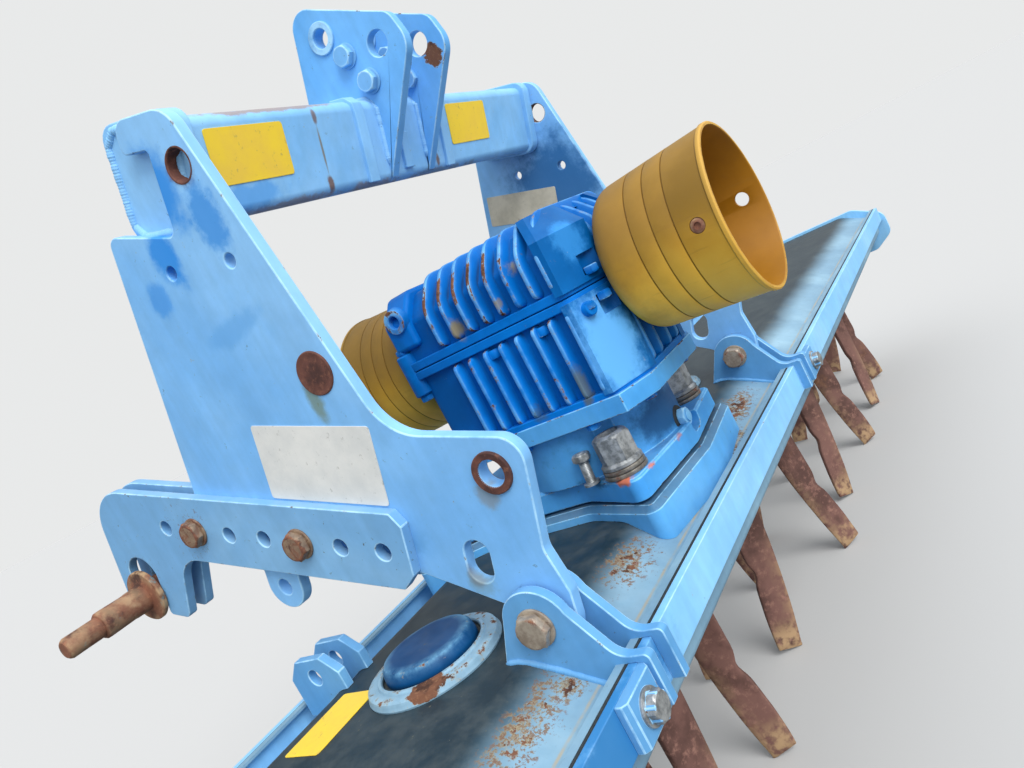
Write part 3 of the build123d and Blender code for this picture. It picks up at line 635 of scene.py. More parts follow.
def paint(name, base, sunned, chips, specks, dusting, slot="frame_blue", stains=(), spots=(), grit=(),
          level=None, crease=None, shine=0.22, **colours):
    """Painted metal. Stains (centre, size, colour, strength, raggedness) colour the paint, and some of them
    stand for painted shade and painted light; spots are where it rusts through and grit is where dirt
    clings. Level is (colour, strength, half width, fade): faces that look up on the flat top about y = 0
    take that colour up to its half width, which on the trough is painted shade. Crease is a (y, colour)
    line."""
    material, tree = new_material(name)
    values = toned({"Paint": base, "Sunned": sunned, "Chips": chips, "Specks": specks, "Dusting": dusting,
                    **colours})
    where = place(tree)
    y = axis(where, 1)
    inputs = {"Wear and shade": wear_and_shade_mark(tree), **values}
    if spots:
        inputs["Rusting"] = largest(tree, spots)
    if grit:
        inputs["Grit"] = largest(tree, grit)
    # Faces that look up near y = 0 take the level colour: painted shade on the trough's flat top
    if level:
        shade, strength, half_width, fade = level
        off = abs(y - middle_y * MM) + noise(where, 6.0, 5.0, 0.6) * (0.5 * fade * MM)
        share = 1.0 - between(off, half_width * MM, (half_width + fade) * MM)
        share = share * between(axis(facing(tree), 2), 0.5, 0.8) * strength
        for key in ("Paint", "Sunned"):
            inputs[key] = blend(share, values[key], tone(*shade))
    old = group(tree, "paint", inputs)
    colour = old["Colour"]
    for centre, size, shade, strength, ragged in stains:
        colour = blend(smudge(tree, centre, size, strength, ragged), colour, tone(*shade))
    if crease:
        off = abs(y - (crease[0] + middle_y) * MM)
        line = (1.0 - between(off, 0.4 * MM, 2.2 * MM)) * between(noise(where, 24.0, 5.0, 0.7), 0.3, 0.62)
        colour = blend(line * 0.7, colour, tone(*crease[1]))
    inputs = {"Base Color": colour, "Roughness": old["Roughness"], "Specular IOR Level": shine}
    return finished(material, slot, inputs, old["Height"], 0.45)


def rusty(name, scale, dark=(62, 40, 34), middle=(118, 74, 56), light=(158, 108, 72), slot="pin_rust",
          metal=0.0, strength=0.6, extra=None):
    """Bare rusty metal, with an optional second colour (colour, noise scale, low, high) over it. Metal
    shines through in patches where it is marked as worn."""
    material, tree = new_material(name)
    where = place(tree)
    rust = group(tree, "rust", {"Scale": scale, "Dark": tone(*dark), "Middle": tone(*middle),
                                "Light": tone(*light)})
    colour = rust["Colour"]
    if extra:
        shade, extra_scale, low, high = extra
        colour = blend(between(noise(where, extra_scale, 6.0, 0.65), low, high), colour, tone(*shade))
    bare = clamp(wear_and_shade_mark(tree) * between(noise(where, 60.0, 5.0), 0.36, 0.6))
    colour = blend(bare, colour, tone(172, 142, 108))
    inputs = {"Base Color": colour, "Roughness": rust["Roughness"], "Metallic": metal}
    return finished(material, slot, inputs, rust["Height"], strength, 0.0012)


def zinc(name, share, dark, light, metal):
    """Dull zinc with rust creeping over it by noise, most where the head is worn."""
    material, tree = new_material(name)
    where = place(tree)
    mottle = noise(where, 90.0, 5.0, 0.65)
    grey = blend(between(mottle, 0.35, 0.65), tone(*dark), tone(*light))
    level = noise(where, 48.0, 7.0, 0.7, 0.6) + wear_and_shade_mark(tree) * (0.30 * share)
    eaten = between(level, 0.66 - 0.3 * share, 0.80 - 0.3 * share)
    colour = blend(eaten, grey, group(tree, "rust", {"Scale": 40.0})["Colour"])
    inputs = {"Base Color": colour, "Metallic": (1.0 - eaten) * metal, "Roughness": eaten * 0.35 + 0.42}
    return finished(material, "bolt_zinc", inputs, mottle, 0.3, 0.0005)


def guard_plastic():
    """Ochre plastic with painted light: a shaded copy of its colour on faces that look up, a lit copy on
    faces that look down, and painted shade inside and in its grooves; scratched, and dirty in patches and
    near its base. Inside is where the normal points to the shaft's axis."""
    material, tree = new_material("guard_plastic")
    where, wear_and_shade, normal = place(tree), wear_and_shade_mark(tree), facing(tree)
    fine = noise(where, 85.0, 6.0, 0.7)
    drift = between(noise(where, 9.0, 5.0, 0.6), 0.35, 0.65)
    # Painted light: a lit copy of the colour for faces that look down and a shaded copy for faces that look
    # up
    lit = blend(drift, tone(248, 188, 58), tone(255, 204, 76))
    shaded = blend(drift, tone(130, 98, 30), tone(148, 112, 38))
    deep = blend(drift, tone(142, 94, 4), tone(158, 106, 10))
    colour = blend(between(axis(normal, 2), -0.85, 0.45), lit, shaded)
    # Painted shade inside the cup
    offset = vector("SUBTRACT", where, (0.0, 0.0, (shaft_z + datum) * MM))
    outwards = vector("DOT_PRODUCT", vector("MULTIPLY", offset, (1.0, 0.0, 1.0)), normal)
    colour = blend(maths("LESS_THAN", outwards, 0.0), colour, deep)
    scratch = between(streaks(where, (120.0, 9.0, 120.0)), 0.62, 0.72)
    colour = blend(scratch * 0.25, colour, tone(140, 104, 40))
    reach = abs(axis(where, 1) - (middle_y - 78.0) * MM)
    base = (1.0 - between(reach, 150 * MM, 285 * MM)) * between(noise(where, 14.0, 6.0, 0.65), 0.3, 0.62)
    colour = blend(base * 0.5, colour, tone(132, 98, 42))
    dirt = between(noise(where, 30.0, 7.0, 0.72), 0.58, 0.74)
    colour = blend(dirt * 0.25, colour, tone(118, 90, 42))
    # Painted shade in the grooves, which are marked below zero
    colour = blend(clamp(wear_and_shade * -0.75), colour, tone(84, 56, 18))
    colour = blend(clamp(wear_and_shade * 0.6), colour, tone(222, 176, 82))
    inputs = {"Base Color": colour, "Roughness": fine * 0.22 + 0.38, "Specular IOR Level": 0.3}
    return finished(material, "guard_yellow", inputs, fine, 0.12, 0.0005)


def blank_plate(name, colour, dirt, metal=0.0):
    """Bare sign plate: one colour, faded in patches and dirty."""
    material, tree = new_material(name)
    where = place(tree)
    patch, fine = noise(where, 18.0, 5.0, 0.65), noise(where, 110.0, 5.0, 0.7)
    shade = blend(between(patch, 0.3, 0.75), tone(*colour), tone(*dirt))
    shade = blend(between(fine, 0.6, 0.7) * 0.4, shade, tone(110, 108, 98))
    inputs = {"Base Color": shade, "Roughness": patch * 0.3 + 0.3, "Metallic": metal}
    return finished(material, "frame_blue", inputs, fine, 0.1, 0.0003)


def on_headstock(*rows):
    """Rows that start with a place (x, forward, up) on the headstock, with that place in the machine."""
    return [(from_hinge(*spot), *rest) for spot, *rest in rows]


rust_stain = (116, 84, 62)
light_rust = (150, 118, 90)
old_gap = (124, 116, 98)
tan_dirt = (136, 128, 104)
primer = (206, 112, 72)
# Deeper blue of the painted shadow on the near plate's top
shadow_blue = (10, 132, 222)

# Stains, painted shadow and painted light on the painted steel: centre, size, colour, strength, raggedness
plate_stains = on_headstock(
    # Painted shadow: deeper blue patches on the near plate's top
    ((near_face, 346, 448), (30, 40, 56), shadow_blue, 0.85, 0.5),
    ((near_face, 366, 385), (30, 26, 44), shadow_blue, 0.85, 0.6),
    ((near_face, 395, 340), (30, 22, 26), shadow_blue, 0.55, 0.8),
    ((near_face, 303, 462), (10, 20, 24), rust_stain, 0.8, 0.9),
    ((near_face, 213, 220), (12, 11, 30), (112, 128, 96), 0.75, 0.7),
    ((near_face, 34, 126), (12, 14, 16), (128, 120, 92), 0.55, 0.8),
    ((near_face, 66, 36), (12, 13, 17), rust_stain, 0.6, 0.6),
    ((near_face, 61, 28), (16, 22, 20), (116, 140, 130), 0.4, 1.0),
    ((near_face, 160, 60), (20, 60, 20), (88, 150, 200), 0.5, 0.9),
    ((near_face, 300, 300), (20, 60, 16), (88, 158, 222), 0.5, 0.7),
    ((near_face, 287, 417), (20, 24, 50), (30, 132, 216), 0.75, 0.8),
    ((plate_inner, 290, 330), (10, 120, 120), (8, 88, 150), 0.85, 0.5))
beam_stains = on_headstock(
    ((-175, 318, 462), (2.4, 14, 50), old_gap, 0.85, 0.12),
    ((-175, 318, 500), (5, 12, 12), rust_stain, 0.8, 0.9),
    ((-175, 318, 420), (6, 12, 12), rust_stain, 0.9, 0.9),
    ((65, 318, 451), (2.2, 14, 42), old_gap, 0.8, 0.12),
    ((65, 318, 422), (6, 12, 10), rust_stain, 0.85, 0.9),
    ((-245, 326, 514), (140, 12, 6), light_rust, 0.75, 1.4),
    ((-250, 326, 408), (110, 12, 6), light_rust, 0.6, 1.4),
    ((-90, 326, 408), (60, 12, 6), light_rust, 0.6, 1.4),
    ((60, 326, 408), (120, 12, 6), (130, 112, 88), 0.55, 1.4),
    ((-300, 318, 425), (60, 20, 18), (60, 148, 226), 0.6, 1.0))
gearbox_stains = [
    ((-130, -41, 740), (16, 11, 20), tan_dirt, 0.95, 1.1),
    ((-126, -150, 790), (16, 8, 28), tan_dirt, 0.95, 0.9),
    ((-130, -50, 744), (10, 22, 8), tan_dirt, 0.7, 1.5),
    ((-130, -120, 746), (10, 14, 8), tan_dirt, 0.7, 1.5),
    ((-126, -166, 612), (14, 10, 30), (92, 104, 104), 0.85, 0.9),
    ((-128, -95, 600), (14, 16, 16), (70, 92, 110), 0.7, 1.0),
    # Painted shadow of the near side plate on the front of the housing's near side, upper and lower
    ((-110, 70, 740), (40, 30, 40), (0, 92, 160), 0.6, 0.8),
    ((-125, 60, 660), (40, 60, 70), (0, 84, 150), 0.7, 0.6)]
panel_stains = [
    ((-88, -236, 694), (14, 16, 13), (158, 142, 140), 0.9, 1.1),
    # Painted light: the near lower panel is lightened where light falls on it
    ((-112, -222, 640), (60, 60, 80), (104, 182, 248), 0.9, 0.6),
    ((-112, -219, 769), (7, 7, 8), (128, 118, 92), 0.9, 0.8),
    ((-96, -230, 776), (30, 30, 34), (60, 150, 226), 0.6, 0.9)]
base_stains = [
    ((-155, -170, 490), (18, 20, 8), primer, 0.95, 1.7),
    ((-128, -205, 490), (20, 12, 8), primer, 0.9, 1.7),
    ((-88, -222, 488), (20, 10, 8), (214, 124, 84), 0.9, 1.7),
    ((-40, -215, 488), (20, 10, 6), primer, 0.7, 1.7),
    ((-150, -110, 490), (40, 44, 12), (10, 58, 92), 0.8, 1.0),
    # Painted shade on the neck under the housing, at its middle and at its rear
    ((0, -78, 540), (125, 125, 50), (2, 60, 116), 0.8, 0.5),
    ((0, -190, 520), (110, 50, 40), (4, 60, 110), 0.85, 0.5)]
# Painted shade on the near end of the rear bar
bar_stains = [((-480, -253, 396), (160, 30, 60), (0, 104, 170), 0.85, 0.5)]

# Where paint rusts through or dirt clings: centre, size, strength
top_plate_rust = on_headstock(*[((side * top_plate_x[0], 271, 562), (8, 18, 24), 0.9) for side in (-1, 1)])
arm_grit = on_headstock(*[((near_face, *spot), (60, 60, 60), 0.5) for spot in ((470, 60), (600, -30))])
trough_rust = [((-490, -176, 421), (56, 18, 14), 0.5), ((-227, -173, 422), (44, 26, 14), 0.5),
               ((234, -183, 416), (74, 22, 14), 0.6), ((107, -200, 407), (60, 22, 14), 0.5),
               ((-427, -189, 413), (24, 14, 12), 0.45), ((-640, -190, 414), (60, 18, 14), 0.4)]
trough_grit = [(spot, tuple(1.9 * reach for reach in size), 0.9) for spot, size, _ in trough_rust]
cap_rust = [((side * cap_x - 60, -42, 446), (30, 22, 10), 0.8) for side in (-1, 1)]

# Finishes of the pieces. A painted one has its paint, sunned paint, chips, specks and dusting in a row
deep_blue = {"slot": "gearbox_blue"}
housing = {"Edge": (134, 200, 240), "Deep": (2, 62, 118), "Dust": (120, 150, 160), "shine": 0.12,
           **deep_blue}
finishes = {
    "plate": paint("plate_paint", (120, 182, 238), (142, 198, 246), 0.6, 0.6, 0.1, stains=plate_stains),
    "tower": paint("tower_paint", (92, 156, 210), (120, 178, 226), 0.7, 0.8, 0.15),
    "top plates": paint("top_plate_paint", (92, 168, 234), (118, 186, 244), 0.8, 0.8, 0.15,
                        spots=top_plate_rust),
    "beam": paint("beam_paint", (120, 184, 238), (146, 202, 248), 1.0, 0.8, 0.35, stains=beam_stains),
    "arm": paint("arm_paint", (116, 170, 216), (138, 188, 228), 0.9, 1.2, 0.25, grit=arm_grit),
    # The trough's dark level colour is painted shade on its flat top
    "trough": paint("trough_paint", (116, 154, 180), (142, 180, 202), 0.9, 1.2, 0.12, spots=trough_rust,
                    grit=trough_grit, level=((20, 38, 48), 0.97, 152.0, 50.0),
                    crease=(-212.0, (172, 158, 126)), Deep=(60, 84, 100)),
    "bar": paint("bar_paint", (132, 196, 244), (150, 208, 250), 0.6, 0.3, 0.05, stains=bar_stains,
                 Edge=(170, 214, 246)),
    "pad": paint("pad_paint", (88, 168, 230), (124, 192, 240), 1.0, 0.8, 0.25, Edge=(150, 210, 246),
                 level=((30, 62, 86), 0.85, 400.0, 10.0)),
    "base": paint("base_paint", (60, 148, 222), (96, 178, 238), 1.2, 0.6, 0.2, stains=base_stains,
                  Edge=(130, 204, 250), Deep=(2, 62, 118), **deep_blue),
    "gearbox": paint("gearbox_paint", (0, 98, 182), (4, 128, 222), 1.8, 0.5, 0.05, stains=gearbox_stains,
                     **housing),
    # The panels' paint is darkened as painted shade of the upper panels; a panel stain lightens the near
    # lower panel again as painted light
    "panel": paint("panel_paint", (0, 86, 154), (10, 112, 190), 1.8, 0.4, 0.1, stains=panel_stains,
                   **housing),
    "cap": paint("cap_paint", (0, 56, 104), (2, 76, 132), 1.0, 0.6, 0.1, shine=0.14, Edge=(120, 180, 215),
                 Deep=(20, 34, 40), **deep_blue),
    "cap ring": paint("cap_ring_paint", (104, 144, 170), (134, 168, 190), 1.5, 1.2, 0.1, spots=cap_rust,
                      Edge=(150, 186, 208), Deep=(22, 32, 36)),
    "guard": guard_plastic(),
    "zinc": zinc("zinc_bolts", 0.05, (120, 124, 126), (176, 180, 182), 0.55),
    "old bolt": zinc("rusty_washers", 0.45, (96, 92, 86), (138, 134, 126), 0.3),
    "pivot bolt": zinc("pivot_bolt_heads", 0.35, (138, 124, 110), (170, 158, 142), 0.25),
    "arm bolt": zinc("arm_bolt_heads", 0.6, (120, 96, 78), (150, 128, 106), 0.2),
    "rust": rusty("rusty_steel", 26.0),
    "bush": rusty("bush_rust", 30.0, (66, 38, 34), (100, 60, 50), (128, 84, 66)),
    "pin": rusty("pin_rust", 26.0, (70, 44, 36), (124, 78, 58), (148, 100, 74),
                 extra=((70, 120, 130), 22.0, 0.56, 0.62)),
    "shaft": rusty("shaft_steel", 30.0, (60, 56, 52), (104, 98, 90), (142, 134, 120), "shaft_steel", 0.5),
    "carrier": rusty("carrier_steel", 14.0, (52, 44, 40), (92, 72, 62), (120, 96, 78), "carrier_steel"),
    "tine": rusty("tine_rust", 12.0, (84, 56, 50), (116, 82, 74), (144, 106, 94), "tine_rust",
                  extra=((148, 104, 70), 7.0, 0.60, 0.8)),
    # Dark seal for the level plug ring, and painted shade for the dark strips in the gaps beside the bars
    "seal_and_gap_shade": rusty("dark_seal_and_gap_shade", 40.0, (22, 28, 32), (34, 42, 46), (56, 60, 58), strength=0.3),
    "plug": paint("plug_paint", (100, 172, 228), (140, 200, 240), 1.0, 0.5, 0.3, **deep_blue),
    "yellow plate": blank_plate("yellow_plate", (244, 210, 50), (236, 198, 70)),
    "white plate": blank_plate("white_plate", (226, 226, 222), (206, 208, 206)),
    "metal plate": blank_plate("metal_plate", (206, 201, 183), (172, 168, 150), 0.1),
}


# Camera, floor and light

def make_camera():
    """Camera of the photograph: 27 mm lens, rolled because the machine lay tipped forward."""
    lens = bpy.data.cameras.new("camera")
    lens.sensor_width, lens.lens = 36.0, 27.16
    lens.clip_start = 0.02
    forward, up = Vector((0.8113, 0.5741, -0.1102)), Vector((0.3496, -0.3254, 0.8786))
    right = forward.cross(up).normalized()
    up = right.cross(forward).normalized()
    turn = Matrix((right, up, -forward.normalized())).transposed().to_4x4()
    camera = linked("camera", lens)
    camera.matrix_world = Matrix.Translation((-0.9267, -0.6734, 0.8326)) @ turn
    bpy.context.scene.camera = camera


def make_stage():
    """Pale round floor and a pale world. Both keep their own pale colour towards the camera, and the
    floor throws back little light, so that undersides stay dark."""
    angle = turn_round(96)
    circle = np.column_stack([np.cos(angle), np.sin(angle), np.zeros(96)])
    points, faces, _ = grid([radius * circle for radius in (0.01, 8.0, 60.0)])
    mesh = bpy.data.meshes.new("floor")
    mesh.from_pydata((points - [0.0, 0.0, 0.0005]).tolist(), [], faces[:-1])
    floor = linked("floor", mesh)
    material, tree = new_material("floor")
    shade = blend(seen_directly(tree), (0.20, 0.20, 0.195, 1.0), (0.495, 0.50, 0.503, 1.0))
    plug(tree.nodes["Principled BSDF"], {"Base Color": shade, "Roughness": 0.9, "Specular IOR Level": 0.0})
    mesh.materials.append(material)
    world = bpy.data.worlds.new("sky")
    bpy.context.scene.world = world
    world.use_nodes = True
    sky = world.node_tree
    background = sky.nodes["Background"]
    direct = add(sky, "ShaderNodeBackground", {"Color": (0.81, 0.82, 0.82, 1.0), "Strength": 1.0})
    shaders = {0: seen_directly(sky), 1: Signal(background.outputs[0]), 2: Signal(direct.outputs[0])}
    plug(sky.nodes["World Output"], {0: signal(sky, "ShaderNodeMixShader", shaders)})
    way = signal(sky, "ShaderNodeTexCoord", output="Generated")
    share = between(vector("DOT_PRODUCT", way, (-0.25, -0.62, 0.74)), -0.55, 0.9)
    shade = blend(share, (0.26, 0.26, 0.26, 1.0), (1.16, 1.18, 1.20, 1.0))
    plug(background, {"Color": shade, "Strength": 1.2})


def make_sun():
    """Soft daylight from above and behind the machine, a little from its left."""
    light = bpy.data.lights.new("daylight", "SUN")
    light.energy, light.angle = 2.4, radians(35)
    light.color = (1.0, 0.98, 0.95)
    sun = linked("daylight", light)
    sun.rotation_euler = Vector((0.42, 0.80, -0.82)).to_track_quat("-Z", "Y").to_euler()


# Gearbox

def cut_corner(grow):
    """Two plan points of the cut rear corner when every wall moves out by grow: each lies where the
    moved wall crosses the moved diagonal."""
    cut_x, cut_y = corner_cut
    length = hypot(cut_x, cut_y)
    side_shift = (1 - cut_y / length) * length / cut_x
    rear_shift = (1 - cut_x / length) * length / cut_y
    return ((core_x + grow, core_rear + cut_y - grow * side_shift),
            (core_x - cut_x + grow * rear_shift, core_rear - grow))


def plan_outline(grow, corner=10.0):
    """Housing from above: rectangle with cut rear corners, grown all round, its corners rounded."""
    wide, front = core_x + grow, core_front + grow
    (side_x, side_y), (rear_x, rear_y) = cut_corner(grow)
    spots = np.array([(wide, front), (-wide, front), (-side_x, side_y), (-rear_x, rear_y), (rear_x, rear_y),
                      (side_x, side_y)])
    return np.concatenate([bent(spots[k - 1], spots[k], spots[(k + 1) % 6], corner, 5) for k in range(6)])


def housing_core(low, high, chamfer):
    """Body of a housing half: plan outline carried up, its top drawn in if it has a chamfer. The whole
    wall between the ribs is marked as a hollow, which the paint darkens as painted shade."""
    levels = [(low, 0.0), (high - chamfer, 0.0)] + ([(high, -chamfer)] if chamfer else [])
    rows = [at_height(plan_outline(grow), z) for z, grow in levels]
    return grid(rows, np.full((len(rows), len(rows[0])), -0.45))


def rib_section(width):
    """Cast rib across its path (sideways, outwards, worn): flared foot marked as a hollow, which the paint
    darkens as painted shade, drafted flanks and a narrow flat crest, which is worn along both its edges;
    the worn crest edges are painted pale, partly as a painted highlight."""
    half, rise = width / 2, fin_rise
    flank = np.array([(2.3 * half, -1.0, -0.9), (1.75 * half, 0.06 * rise, -0.8),
                      (1.35 * half, 0.24 * rise, -0.3), (0.78 * half, 0.88 * rise, 0.2),
                      (0.62 * half, 0.97 * rise, 1), (0.3 * half, rise, 0.8)])
    return np.concatenate([flank * (-1, 1, 1), flank[::-1]])


def bent_path(spots, bend):
    """Points along straight runs through (a, b) spots with their corners rounded, the normals to the
    left of the way along, and how far along each point lies."""
    spots = np.asarray(spots, float)
    turns = [bent(*spots[k - 1:k + 2], bend, 6) for k in range(1, len(spots) - 1)]
    path, at = resampled(np.concatenate([spots[:1], *turns, spots[-1:]]), 3.0, 8)
    along = unit(np.gradient(path, axis=0))
    return path, np.stack([-along[:, 1], along[:, 0]], -1), at


def rib(path, normals, at, wear_and_shade, width=7.6):
    """Rib along a path in space: its section is carried along, square to the path and to its normals.
    Its height rises from and falls to nothing over its two ends."""
    lift = np.ones(len(at))
    for far in (at, at[-1] - at):
        lift *= np.sqrt(np.clip(1 - (1 - np.clip(far / rib_end, 0, 1)) ** 2, 0.0, 1))
    section = rib_section(width)
    side = np.cross(unit(np.gradient(path, axis=0)), normals)
    across = section[None, :, 0:1] * (0.55 + 0.45 * lift)[:, None, None] * side[:, None, :]
    out = section[None, :, 1:2] * np.maximum(lift, 0.03)[:, None, None] * normals[:, None, :]
    marks = section[None, :, 2] * np.broadcast_to(wear_and_shade, len(at))[:, None]
    return grid(path[:, None, :] + across + out, marks)


def side_fin(side, y, low, high):
    """Upright fin on a side of the lower half."""
    at = np.linspace(0, high - low, 40)
    path = np.column_stack([np.full(40, side * core_x), np.full(40, y), low + at])
    normals = np.tile([float(side), 0.0, 0.0], (40, 1))
    return rib(path, normals, at, 0.55 + 0.6 * np.exp(-at / 12.0) + 0.4 * np.exp((at - at[-1]) / 10.0))


def roof_fin(y, low, knee_wear):
    """Fin of the upper half: up one side, over the chamfers and the roof and down the other side."""
    knee, inset = roof_z - roof_chamfer, core_x - roof_chamfer
    half = [(core_x, low), (core_x, knee), (inset, roof_z)]
    flat, normals, at = bent_path(half + [(-x, z) for x, z in reversed(half)], 11.0)
    path = np.column_stack([flat[:, 0], np.full(len(flat), y), flat[:, 1]])
    normals = -np.column_stack([normals[:, 0], np.zeros(len(flat)), normals[:, 1]])
    from_knee = np.where(np.abs(flat[:, 0]) < inset, 60, np.abs(flat[:, 1] - knee - 8))
    tip = np.exp(-np.minimum(at, at[-1] - at) / 14.0)
    return rib(path, normals, at, 0.55 + knee_wear * np.exp(-(from_knee / 15.0) ** 2) + 0.7 * tip)


def rear_fin(x, spots):
    """Upright fin on the rear wall, through (y, z) spots."""
    flat, normals, at = bent_path(spots, 13.0)
    path = np.column_stack([np.full(len(flat), x), flat])
    return rib(path, np.column_stack([np.zeros(len(flat)), normals]), at, 0.5, 10.0)


def corner_panel(side, levels):
    """Flat panel that stands proud over a cut rear corner, through levels (height, grown by)."""
    side_back, rear_back = 12.0, 14.0

    def ring(z, more):
        (side_x, side_y), (rear_x, rear_y) = cut_corner(panel_rise + more)
        spots = [(core_x - 20 + more, side_y + side_back), (side_x, side_y + side_back), (side_x, side_y),
                 (rear_x, rear_y), (rear_x - rear_back, rear_y), (rear_x - rear_back, core_rear + 6 - more)]
        return [(side * x, y, z) for x, y in spots]
    return grid([ring(z, more) for z, more in levels])


def make_gearbox():
    """Housing halves with their flanges, ribs, panels, bosses, bolts and front shoulders."""
    lower_top, upper_low = split_z - 0.5, split_z + 0.5
    flange = plan_outline(split_rise, 16.0)
    foot = plan_outline(split_rise + 3, 18.0)
    for name, shell, stands_for, width in (
            ("gearbox_lower_body", housing_core(housing_low - 1, lower_top, 0), ("gearbox_lower",), 2.5),
            ("gearbox_upper_body", housing_core(upper_low, roof_z, roof_chamfer), ("gearbox_upper",), 5.0),
            ("split_flange_lower", prism(flange, lower_top - split_height, lower_top), (), 1.6),
            ("split_flange_upper", prism(flange, upper_low, upper_low + split_height), (), 1.6),
            ("housing_foot_flange", prism(foot, housing_low - 1.0, housing_low + 8.0), (), 1.6)):
        piece(name, [shell], "gearbox", stands_for, bevel=(width, 3))

    foot_z, below_z, above_z = housing_low + 5, split_z - split_height - 1, split_z + split_height + 1
    ribs_low, ribs_up = [], []
    for i in range(fin_count):
        y = fin_first - i * fin_pitch
        ribs_low += [side_fin(side, y, foot_z, below_z) for side in (-1, 1)]
        ribs_up.append(roof_fin(y, above_z, 1.25 if i < 5 else 0.5))
    knee, inset = roof_z - roof_chamfer, core_rear + roof_chamfer
    over_roof = [(core_rear, above_z), (core_rear, knee), (inset, roof_z), (inset + 45, roof_z)]
    for x in (-48.0, -18.0, 18.0, 48.0):
        ribs_low.append(rear_fin(x, [(core_rear, foot_z), (core_rear, below_z)]))
        ribs_up.append(rear_fin(x, over_roof))
    piece("gearbox_lower_ribs", ribs_low, "gearbox", crease=50)
    piece("gearbox_upper_ribs", ribs_up, "gearbox", crease=50)

    panel_top = roof_z + 12.0
    low_panel = [(housing_low + 4, 0), (split_z - 6, 0)]
    high_panel = [(split_z + 6, 0), (panel_top - roof_chamfer, 0), (panel_top, -roof_chamfer)]
    panels = [corner_panel(side, levels) for side in (-1, 1) for levels in (low_panel, high_panel)]
    pockets = [turned((side * 85, -235, z), UP, [(0, 17.5), (26, 17.5)], 40)
               for side in (-1, 1) for z in (above_z, below_z - 26)]
    drill(piece("gearbox_corner_panels", panels, "panel"), pockets)

    vent = [(-3, 19, 0), (6.4, 17, 0.3), (7.6, 16.4, 1), (8, 15.4, 1), (8, 9.9, 0.6), (6.8, 8.5, 0.3),
            (-6, 8.1, 0), (-6.5, 2.55, 0)]
    bosses, bolts = [], []
    for side in (-1, 1):
        bosses.append(turned((side * (core_x + 6), 47.0, 788.0), (side, 0, 0), vent, 40))
        for y, z in ((-67.0, 690.0), (-146.0, 690.0)):
            bosses.append(turned((side * (core_x - 1), y, z - 4), UP, [(0, 9), (2, 10), (10, 10), (12, 9)]))
            bolts.append(hex_head((side * (core_x + 2), y, z + 8), DOWN, 13.0, 12.0))
        bosses.append(turned((side * 116, 70, split_z - 34), UP, [(0, 12), (2, 14), (60, 14), (62, 12)]))
        bolts.append(hex_head((side * 116, 70, split_z - 34), DOWN, 19.0, 9.0))
        bolts.append(hex_head((side * 116, 70, split_z + 28), UP, 19.0, 9.0))
        for way in (UP, DOWN):
            bolts.append(hex_head((side * 84, -226, split_z + way[2] * split_height), way, 17.0, 10.0, 0.5))
        across_corner = (side * 0.44, -0.9, 0)
        bosses.append(turned((side * 113, -214, 692), across_corner, [(-6, 9.5), (5, 9), (6.4, 8), (7, 3)]))
        bolts.append(hex_head((side * 114.5, -217.5, 700), DOWN, 12.0, 9.0, 0.2))
    piece("gearbox_bosses", bosses, "gearbox", crease=40)
    piece("gearbox_split_bolts", bolts, "gearbox", crease=30)

    wide, low, high = core_x + shoulder_rise, split_z + 30, roof_z + shoulder_rise
    inner = 40.0
    spots = [(inner, low), (wide, low), (wide, high - roof_chamfer), (wide - roof_chamfer, high),
             (inner, high)]
    shoulders = [grid([[(side * x, y, z) for x, z in spots] for y in (30.0, 74.0)]) for side in (-1, 1)]
    piece("gearbox_front_shoulders", shoulders, "gearbox", bevel=(7.0, 4))


def make_base_details():
    """Nuts on their washers, floor bolts, level plug and the small upright bolt."""
    nuts, washers = [], []
    across = 44.0
    reach = across / 2 / cos(pi / 6)
    skirt = [(0, 26), (0.8, 27.5), (4.5, 27.5), (7.5, 24.5)]
    crown = [(5, 22.5), (6, reach), (37, reach), (40, 22.6), (42, 19.5), (43, 15.0), (42.2, 13.0),
             (36, 12.6), (36, 3)]
    for x in (-nut_x, nut_x):
        for y in (-nut_y, nut_y):
            washers.append(disc((x, y, base_top), UP, 29.0, 5.5, 1.2))
            washers.append(disc((x, y, base_top + 6.2), UP, 28.0, 5.5, 1.2))
            seat = (x, y, base_top + 12)
            nuts.append(turned(seat, UP, skirt))
            nuts.append(turned(seat, UP, crown, turn=0.35 + 0.01 * x + 0.003 * y, flats=6, across=across))
            nuts.append(turned((x, y, base_top + 40), UP, [(0, 11.6), (6, 11.6), (8, 10), (8.5, 4)]))
    piece("base_nuts", nuts, "zinc", ("gearbox_nuts",), 30)
    piece("base_washers", washers, "old bolt", crease=30)
    under = trough_top + 126.0
    spots = [(side * 124, y) for side in (-1, 1) for y in (-150, -40, 60)]
    spots += [(side * x, y) for x, y in ((70, -212), (60, 70)) for side in (-1, 1)]
    small = [hex_head((x * 0.97, y, under), DOWN, 16.0, 9.0, 0.2 + x * 0.01) for x, y in spots]
    piece("floor_bolts", small, "gearbox", crease=30)
    tilt = (0.06, -0.04, 1)
    upright = [turned((-128, -114, base_top), UP, [(0, 11), (3, 11), (3.5, 7)]),
               threaded((-128, -114, base_top + 3), tilt, 40, 7.0),
               hex_head((-126.2, -115.2, base_top + 32), tilt, 22.0, 10.0)]
    piece("upright_bolt", upright, "zinc", crease=30)
    rear = (0, -1, 0)
    ring = [turned((10, -192, base_top + 6), rear, [(-3, 18.5), (5, 18.5), (6.5, 17), (6.5, 4)])]
    piece("level_plug_ring", ring, "seal_and_gap_shade", crease=30)
    plug_shells = [hex_head((10, -198, base_top + 6), rear, 24.0, 11.0),
                   turned((10, -207, base_top + 6), rear, [(0, 8), (4, 8), (5, 6)])]
    piece("level_plug", plug_shells, "plug", crease=30)


# Guards and shaft

def wall_y(way):
    """Rear wall of the lower housing half for way -1, and its front wall for 1."""
    return lower_low[1] if way < 0 else lower_high[1]


